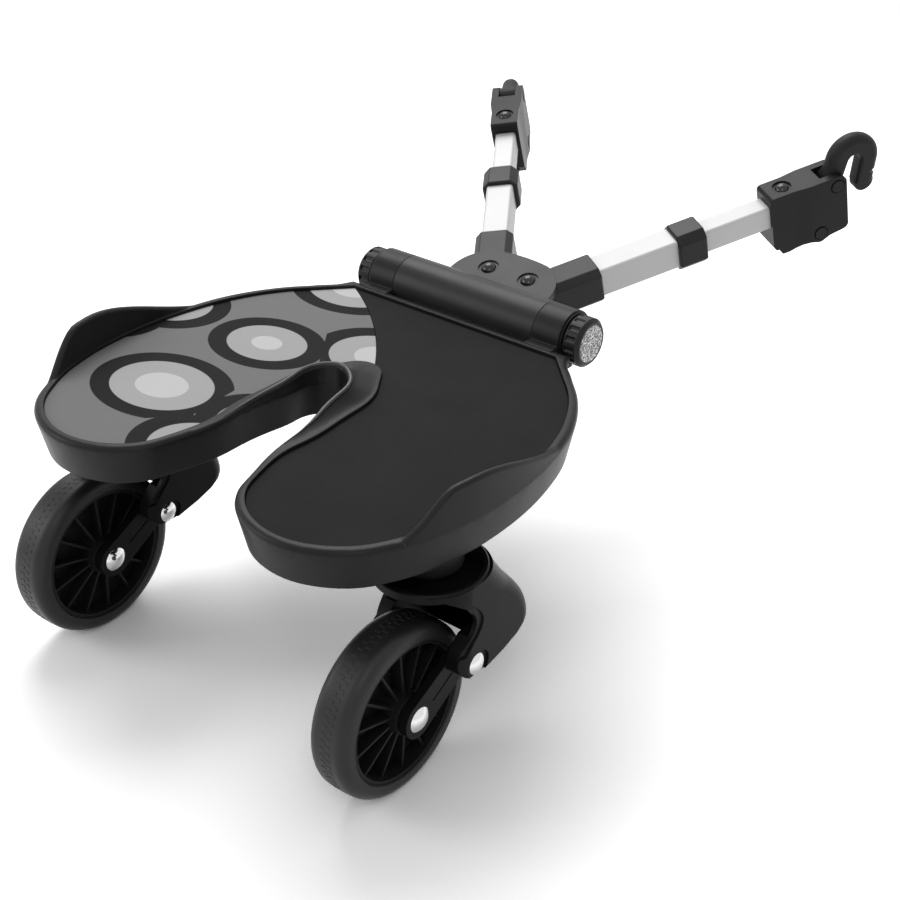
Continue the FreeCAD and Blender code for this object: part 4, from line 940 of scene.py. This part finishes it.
@dataclass
class NickedHook(Skin):
    """A hook whose nick, across the back of its leg, is cut deeper than in the solid."""

    hinge: str = ""
    deeper: float = 4.8 * MM
    depth: float = 8.0 * MM
    half_mouth: float = 3.0 * MM
    reach: float = 11.0 * MM
    width: float = 30.0 * MM
    least_turn: float = 80.0
    least_along: float = 0.99

    def root(self, piece: Object, axis: Vector) -> tuple[Vector, Vector]:
        """Finds the nick in the solid.

        Args:
            piece: The welded hook.
            axis: The hinge's direction, which the nick runs along.

        Returns:
            The middle of the nick's root and the direction out of it.
        """
        mesh = bmesh.new()
        mesh.from_mesh(piece.data)
        spots = Vector()
        ways = Vector()
        total = 0.0
        for edge in mesh.edges:
            line = edge.verts[1].co - edge.verts[0].co
            hollow = edge.is_manifold and edge.calc_face_angle_signed(0.0) < -radians(self.least_turn)
            if hollow and abs(line.normalized().dot(axis)) > self.least_along:
                spots += (edge.verts[0].co + edge.verts[1].co) / 2 * line.length
                ways += edge.link_faces[0].normal + edge.link_faces[1].normal
                total += line.length
        mesh.free()
        return spots / total, ways.normalized()

    def reshape(self, piece: Object) -> None:
        """Cuts the nick with a three-sided bar that lies along the hinge.

        Args:
            piece: The welded hook.
        """
        axis = joint_axis(self.hinge)
        root, way_out = self.root(piece, axis)
        bpy.ops.object.select_all(action="DESELECT")
        bpy.ops.mesh.primitive_cylinder_add(vertices=3, radius=1.0, depth=1.0)
        cutter = bpy.context.object
        tall = self.reach / TRIANGLE_HEIGHT
        wide = self.half_mouth * self.reach / self.depth / TRIANGLE_HALF
        middle = root + way_out * (tall - self.deeper)
        turned = Matrix((axis.cross(way_out), -way_out, axis)).transposed().to_quaternion()
        cutter.matrix_world = Matrix.LocRotScale(middle, turned, Vector((wide, tall, self.width)))
        apply_modifier(piece, "BOOLEAN", object=cutter, operation="DIFFERENCE", solver="EXACT")
        bpy.data.objects.remove(cutter)


@dataclass
class ReturnSpring(Skin):
    """A trigger's spring, at its rest length; it does not follow the trigger."""

    press: str = ""
    pressed_share: float = 0.52

    def build(self) -> Object:
        """Finishes the spring and gives it a mesh of its own.

        Returns:
            The spring.
        """
        piece = super().build()
        low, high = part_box(self.node)
        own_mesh(piece)
        return piece


@dataclass
class CoamingBead:
    """The round bead on the crest of the coaming, drawn along the solid's own crest.

    It lies behind the front limit and within the half width, and swells from its foot to its full height.
    """

    radius: float = 1.8 * MM
    round_steps: int = 3
    least_turn: float = 22.0
    half_width: float = 36 * MM
    foot: float = 198.4 * MM
    full: float = 203.0 * MM
    front: float = -100 * MM
    thinnest: float = 0.2

    def on_crest(self, piece: Object, ends: Sequence[int]) -> bool:
        """Whether an edge between two vertices lies on the crest."""
        places = [piece.data.vertices[index].co for index in ends]
        return all(abs(at.x) < self.half_width and at.y < self.front and at.z > self.foot for at in places)

    def trace(self) -> Object:
        """Leaves only the crest of a copy of the deck.

        Returns:
            The crest's edges, without faces.
        """
        piece = welded_copy("deck", "coaming_bead")
        edit(piece, Pick.EDGES)
        bpy.ops.mesh.edges_select_sharp(sharpness=radians(self.least_turn))
        bpy.ops.object.mode_set(mode="OBJECT")
        for edge in piece.data.edges:
            edge.select = edge.select and self.on_crest(piece, edge.vertices)
        bpy.ops.object.mode_set(mode="EDIT")
        bpy.ops.mesh.select_all(action="INVERT")
        bpy.ops.mesh.delete(type="EDGE_FACE")
        bpy.ops.mesh.select_all(action="SELECT")
        bpy.ops.mesh.delete_loose(use_edges=False)
        bpy.ops.object.mode_set(mode="OBJECT")
        return piece

    def build(self) -> Object:
        """Swells the crest line to a bead that thins out at its ends.

        Returns:
            The bead.
        """
        piece = self.trace()
        select_only(piece)
        bpy.ops.object.convert(target="CURVE")
        curve = bpy.context.object.data
        curve.dimensions = "3D"
        curve.bevel_depth = self.radius
        curve.bevel_resolution = self.round_steps
        curve.use_fill_caps = True
        for spline in curve.splines:
            for point in spline.points:
                share = (point.co.z - self.foot) / (self.full - self.foot)
                point.radius = max(self.thinnest, min(share, 1.0))
        bpy.ops.object.convert(target="MESH")
        bead = bpy.context.object
        shade(bead, Edge.ROUND)
        # The bead's paler colour is a painted highlight.
        dress(bead, CREST_PAINTED_HIGHLIGHT_PLASTIC)
        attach(bead, BODY["deck"])
        LOG.info("%s rides on %s", bead.name, BODY["deck"])
        return bead


@dataclass
class Deck:
    """The deck moulding with its two grip mats."""

    mat_edge: float = 0.5 * MM

    def build(self) -> None:
        """Finishes the moulding and the mats."""
        Skin("deck", DECK_PLASTIC).build()
        CoamingBead().build()
        Skin("mat_right", MAT_BLACK, Edge.CRISP, self.mat_edge).build()
        Skin("mat_left", MAT_PRINT, Edge.CRISP, self.mat_edge).build()


@dataclass
class CrossHinge:
    """The sleeve with its fan plates, rod, washers, clamp knobs, reflectors and the arms' pivot screws."""

    def build(self) -> None:
        """Finishes the hinge's pieces."""
        Skin("arm_bracket", ARM_PLASTIC).build()
        Dressed("hinge_rod", PLAIN_STEEL).build()
        Dressed("hinge_washers", RIM_PLASTIC).build()
        for side in Side:
            Skin(side.of("knob"), CLAMP_PLASTIC, Edge.CRISP).build()
            Skin(side.of("reflector"), REFLECTOR, Edge.CRISP).build()
            Skin(side.of("arm_pivot_screw"), BLACK_STEEL, Edge.ROUND).build()


@dataclass
class TowArm:
    """One telescopic arm with its hook."""

    side: Side
    along: Vector = field(init=False)

    def __post_init__(self) -> None:
        """Takes the arm's direction from the frame."""
        self.along = joint_axis(self.side.of("arm_reach"))

    def tube_finish(self) -> AnodisedTube:
        """Anodised finish with its lines along this arm."""
        turn = self.along.to_track_quat("X", "Z").to_euler()
        return AnodisedTube(self.side.of("silver_tube"), tuple(turn))

    def build(self) -> None:
        """Finishes the arm from its root to its hook."""
        tube = self.tube_finish()
        for stem, finish in (("arm_root", ARM_PLASTIC), ("collar", CLAMP_PLASTIC)):
            RimmedSkin(self.side.of(stem), finish, along=self.along).build()
        for stem, finish, edge in (
            ("outer_tube", tube, Edge.MOULDED),
            ("inner_tube", tube, Edge.MOULDED),
            ("hook_block", BLOCK_PLASTIC, Edge.MOULDED),
            ("block_screw", BLACK_STEEL, Edge.ROUND),
            ("hook_pin", BLOCK_PLASTIC, Edge.CRISP),
            ("latch_pin", BLOCK_PLASTIC, Edge.CRISP),
            ("latch", RIM_PLASTIC, Edge.MOULDED),
        ):
            Skin(self.side.of(stem), finish, edge).build()
        hinge = self.side.of("hook_open")
        NickedHook(self.side.of("hook"), HOOK_PLASTIC, Edge.ROUND, hinge=hinge).build()
        press = self.side.of("latch_press")
        ReturnSpring(self.side.of("latch_spring"), PLAIN_STEEL, Edge.ROUND, press=press).build()


@dataclass
class Tyre:
    """A tyre with smooth shoulders and two staggered rows of low tread blocks."""

    side: Side
    segments: int = 144
    half_width: float = 15.5 * MM
    shoulder: float = 8.0 * MM
    shoulder_steps: int = 9
    lip_radius: float = 51.0 * MM
    seat_radius: float = 50.0 * MM
    seat_half: float = 14.0 * MM
    tread: float = 0.25 * MM
    tread_half: float = 4.5 * MM
    block_inset: float = 0.25 * MM
    near: float = 0.1 * MM
    radius: float = field(init=False)
    centre: Vector = field(init=False)

    def __post_init__(self) -> None:
        """Takes the wheel's middle and radius from the frame."""
        low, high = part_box(self.side.of("tyre"))
        self.centre = (low + high) / 2
        self.radius = (high.z - low.z) / 2 - self.tread

    def select_rings(self, piece: Object, wanted: Callable[[float, float], bool]) -> None:
        """Selects the edges that go round the wheel.

        Args:
            piece: The tyre.
            wanted: Says from the distance to the middle plane and the radius whether a ring counts.
        """
        bpy.ops.mesh.select_all(action="DESELECT")
        bpy.ops.object.mode_set(mode="OBJECT")
        verts = piece.data.vertices
        for ring in piece.data.edges:
            ends = [verts[index].co - self.centre for index in ring.vertices]
            level = abs(ends[0].x - ends[1].x) < WELD
            places = [(abs(end.x), end.yz.length) for end in ends]
            ring.select = level and all(wanted(*place) for place in places)
        bpy.ops.object.mode_set(mode="EDIT")

    def extrude_rings(self, half: float, radius: float, from_half: float, from_radius: float) -> None:
        """Draws the selected rings to a new half width and radius.

        Args:
            half: The new half width.
            radius: The new radius.
            from_half: The half width that they have.
            from_radius: The radius that they have.
        """
        bpy.ops.mesh.extrude_edges_move()
        shrink = radius / from_radius
        bpy.ops.transform.resize(value=(half / from_half, shrink, shrink), center_override=self.centre)

    def build_body(self) -> Object:
        """Turns the tyre's section from an open tube.

        Returns:
            The tyre without its tread, its band parted into rows.
        """
        bpy.ops.object.select_all(action="DESELECT")
        bpy.ops.mesh.primitive_cylinder_add(
            vertices=self.segments, radius=self.radius, depth=2 * self.half_width, end_fill_type="NOTHING",
            location=self.centre, rotation=(0.0, pi / 2, 0.0),
        )
        piece = bpy.context.object
        piece.name = self.side.of("treaded_tyre")
        bpy.ops.object.transform_apply(location=True, rotation=True, scale=True)
        edit(piece, Pick.EDGES)
        self.select_rings(piece, lambda half, radius: abs(half - self.half_width) < self.near)
        self.extrude_rings(self.half_width, self.lip_radius, self.half_width, self.radius)
        self.extrude_rings(self.seat_half, self.seat_radius, self.half_width, self.lip_radius)
        bpy.ops.mesh.bridge_edge_loops()
        self.select_rings(piece, lambda half, radius: abs(radius - self.radius) < self.near)
        bpy.ops.mesh.bevel(
            offset=self.shoulder, segments=self.shoulder_steps, profile=ROUND_PROFILE, affect="EDGES",
        )
        bpy.ops.mesh.select_all(action="SELECT")
        bpy.ops.mesh.normals_make_consistent(inside=False)
        for offset in (-self.tread_half, 0.0, self.tread_half):
            bpy.ops.mesh.select_all(action="SELECT")
            bpy.ops.mesh.bisect(plane_co=self.centre + Vector((offset, 0.0, 0.0)), plane_no=(1.0, 0.0, 0.0))
        bpy.ops.object.mode_set(mode="OBJECT")
        return piece

    def is_block(self, face: MeshPolygon) -> bool:
        """Whether a face is raised: every second one of the band, staggered between the two rows.

        Args:
            face: A face of the tyre.

        Returns:
            Whether it becomes a tread block.
        """
        spot = face.center - self.centre
        if abs(spot.x) > self.tread_half or spot.yz.length < self.radius - self.tread:
            return False
        turn = spot.yz.angle_signed(Vector((1.0, 0.0))) / (2 * pi) % 1.0
        place = round(turn * self.segments - 1 / 2)
        return (place + (spot.x > 0)) % 2 == 0

    def raise_tread(self, piece: Object) -> None:
        """Raises the tread blocks out of the band.

        Args:
            piece: The tyre.
        """
        edit(piece, Pick.FACES)
        bpy.ops.object.mode_set(mode="OBJECT")
        for face in piece.data.polygons:
            face.select = self.is_block(face)
        bpy.ops.object.mode_set(mode="EDIT")
        bpy.ops.mesh.inset(thickness=self.block_inset, use_individual=True)
        bpy.ops.mesh.extrude_region_shrink_fatten(TRANSFORM_OT_shrink_fatten={"value": self.tread})
        bpy.ops.object.mode_set(mode="OBJECT")

    def build(self) -> Object:
        """Models, shades and places the tyre.

        Returns:
            The tyre.
        """
        piece = self.build_body()
        self.raise_tread(piece)
        shade(piece, Edge.MOULDED)
        dress(piece, TYRE)
        stand_for(piece, self.side.of("tyre"))
        return piece


@dataclass
class Caster:
    """One sprung swivel caster."""

    side: Side

    def build(self) -> None:
        """Finishes the caster from its stem to its tyre."""
        for stem, finish, edge in (
            ("caster_hood", CASTER_PLASTIC, Edge.MOULDED),
            ("swing_arms", CASTER_PLASTIC, Edge.CRISP),
            ("pivot_rivets", CHROME, Edge.ROUND),
            ("wheel_rim", RIM_PLASTIC, Edge.CRISP),
            ("wheel_bushes", RIM_PLASTIC, Edge.CRISP),
        ):
            Skin(self.side.of(stem), finish, edge).build()
        for stem, finish in (
            ("caster_stem", PLAIN_STEEL),
            ("stem_retainer", PLAIN_STEEL),
            ("suspension_springs", PLAIN_STEEL),
            ("stem_bush", NYLON),
        ):
            Dressed(self.side.of(stem), finish).build()
        DomedAxle(self.side.of("wheel_axle"), CHROME, Edge.ROUND).build()
        Tyre(self.side).build()


@dataclass(frozen=True)
class Lamp:
    """A square soft lamp turned to the target, in degrees, metres and watts."""

    name: str
    azimuth: float
    elevation: float
    size: float
    power: float
    distance: float = 2.2


@dataclass
class Studio:
    """Camera, lamps, world and floor."""

    target: Vector = field(default_factory=lambda: Vector((49.65, -70.29, 132.45)) * MM)
    distance: float = 1167.77 * MM
    azimuth: float = 38.33
    elevation: float = 31.10
    lens: float = 64.36
    sensor: float = 36.0
    ambient: float = 0.43
    floor_half: float = 1.6
    lamps: tuple[Lamp, ...] = (
        Lamp("overhead", azimuth=228.0, elevation=56.0, size=1.5, power=34.0),
        Lamp("left_fill", azimuth=-48.0, elevation=24.0, size=1.0, power=10.0),
        Lamp("front_glint", azimuth=42.0, elevation=46.0, size=0.5, power=3.5),
    )

    def direction(self, azimuth: float, elevation: float) -> Vector:
        """The unit vector from the target towards a place in the studio."""
        turn, rise = radians(azimuth), radians(elevation)
        return Vector((sin(turn) * cos(rise), -cos(turn) * cos(rise), sin(rise)))

    def aim(self, thing: Object, azimuth: float, elevation: float, distance: float) -> None:
        """Sets a camera or lamp round the target and turns it there.

        Args:
            thing: The camera or lamp.
            azimuth: Degrees round the target from the rear.
            elevation: Degrees above it.
            distance: Metres from it.
        """
        back = self.direction(azimuth, elevation)
        place = self.target + back * distance
        thing.matrix_world = Matrix.LocRotScale(place, back.to_track_quat("Z", "Y"), None)

    def make_camera(self) -> None:
        """The photograph's view."""
        lens = bpy.data.cameras.new("camera")
        lens.lens = self.lens
        lens.sensor_width = self.sensor
        camera = bpy.data.objects.new("camera", lens)
        bpy.context.scene.collection.objects.link(camera)
        self.aim(camera, self.azimuth, self.elevation, self.distance)
        bpy.context.scene.camera = camera

    def make_lamp(self, lamp: Lamp) -> None:
        """Hangs one lamp.

        Args:
            lamp: Its name, place, size and power.
        """
        light = bpy.data.lights.new(lamp.name, "AREA")
        light.size = lamp.size
        light.energy = lamp.power
        hung = bpy.data.objects.new(lamp.name, light)
        bpy.context.scene.collection.objects.link(hung)
        self.aim(hung, lamp.azimuth, lamp.elevation, lamp.distance)

    def make_world(self) -> None:
        """White to the rays that see it, a plain soft light to the rest."""
        world = bpy.data.worlds.new("studio")
        bpy.context.scene.world = world
        graph = ShaderGraph(world)
        soft = graph.node("ShaderNodeBackground", None, {"Color": grey(1.0), "Strength": self.ambient})
        white = graph.node("ShaderNodeBackground", None, {"Color": grey(1.0), "Strength": 1.0})
        mixed = graph.node("ShaderNodeMixShader", None, {0: seen_rays(graph), 1: soft, 2: white})
        graph.node("ShaderNodeOutputWorld", None, {"Surface": mixed})

    def make_floor(self) -> None:
        """A wide floor under the wheels."""
        bpy.ops.object.select_all(action="DESELECT")
        bpy.ops.mesh.primitive_plane_add(size=2 * self.floor_half, location=(0.0, 0.0, CAD_BOX[0].z))
        floor = bpy.context.object
        floor.name = "floor"
        bpy.ops.object.transform_apply(location=True, rotation=True, scale=True)
        dress(floor, FLOOR)

    def build(self) -> None:
        """Sets the studio up."""
        bpy.context.scene.view_settings.view_transform = "Standard"
        self.make_camera()
        for lamp in self.lamps:
            self.make_lamp(lamp)
        self.make_world()
        self.make_floor()


def main() -> None:
    """Builds the part, sub-assembly by sub-assembly, and the studio."""
    logging.basicConfig(level=logging.INFO, format="%(name)s: %(message)s")
    Deck().build()
    CrossHinge().build()
    for side in Side:
        TowArm(side).build()
        Caster(side).build()
    Studio().build()


if __name__ == "__main__":
    main()
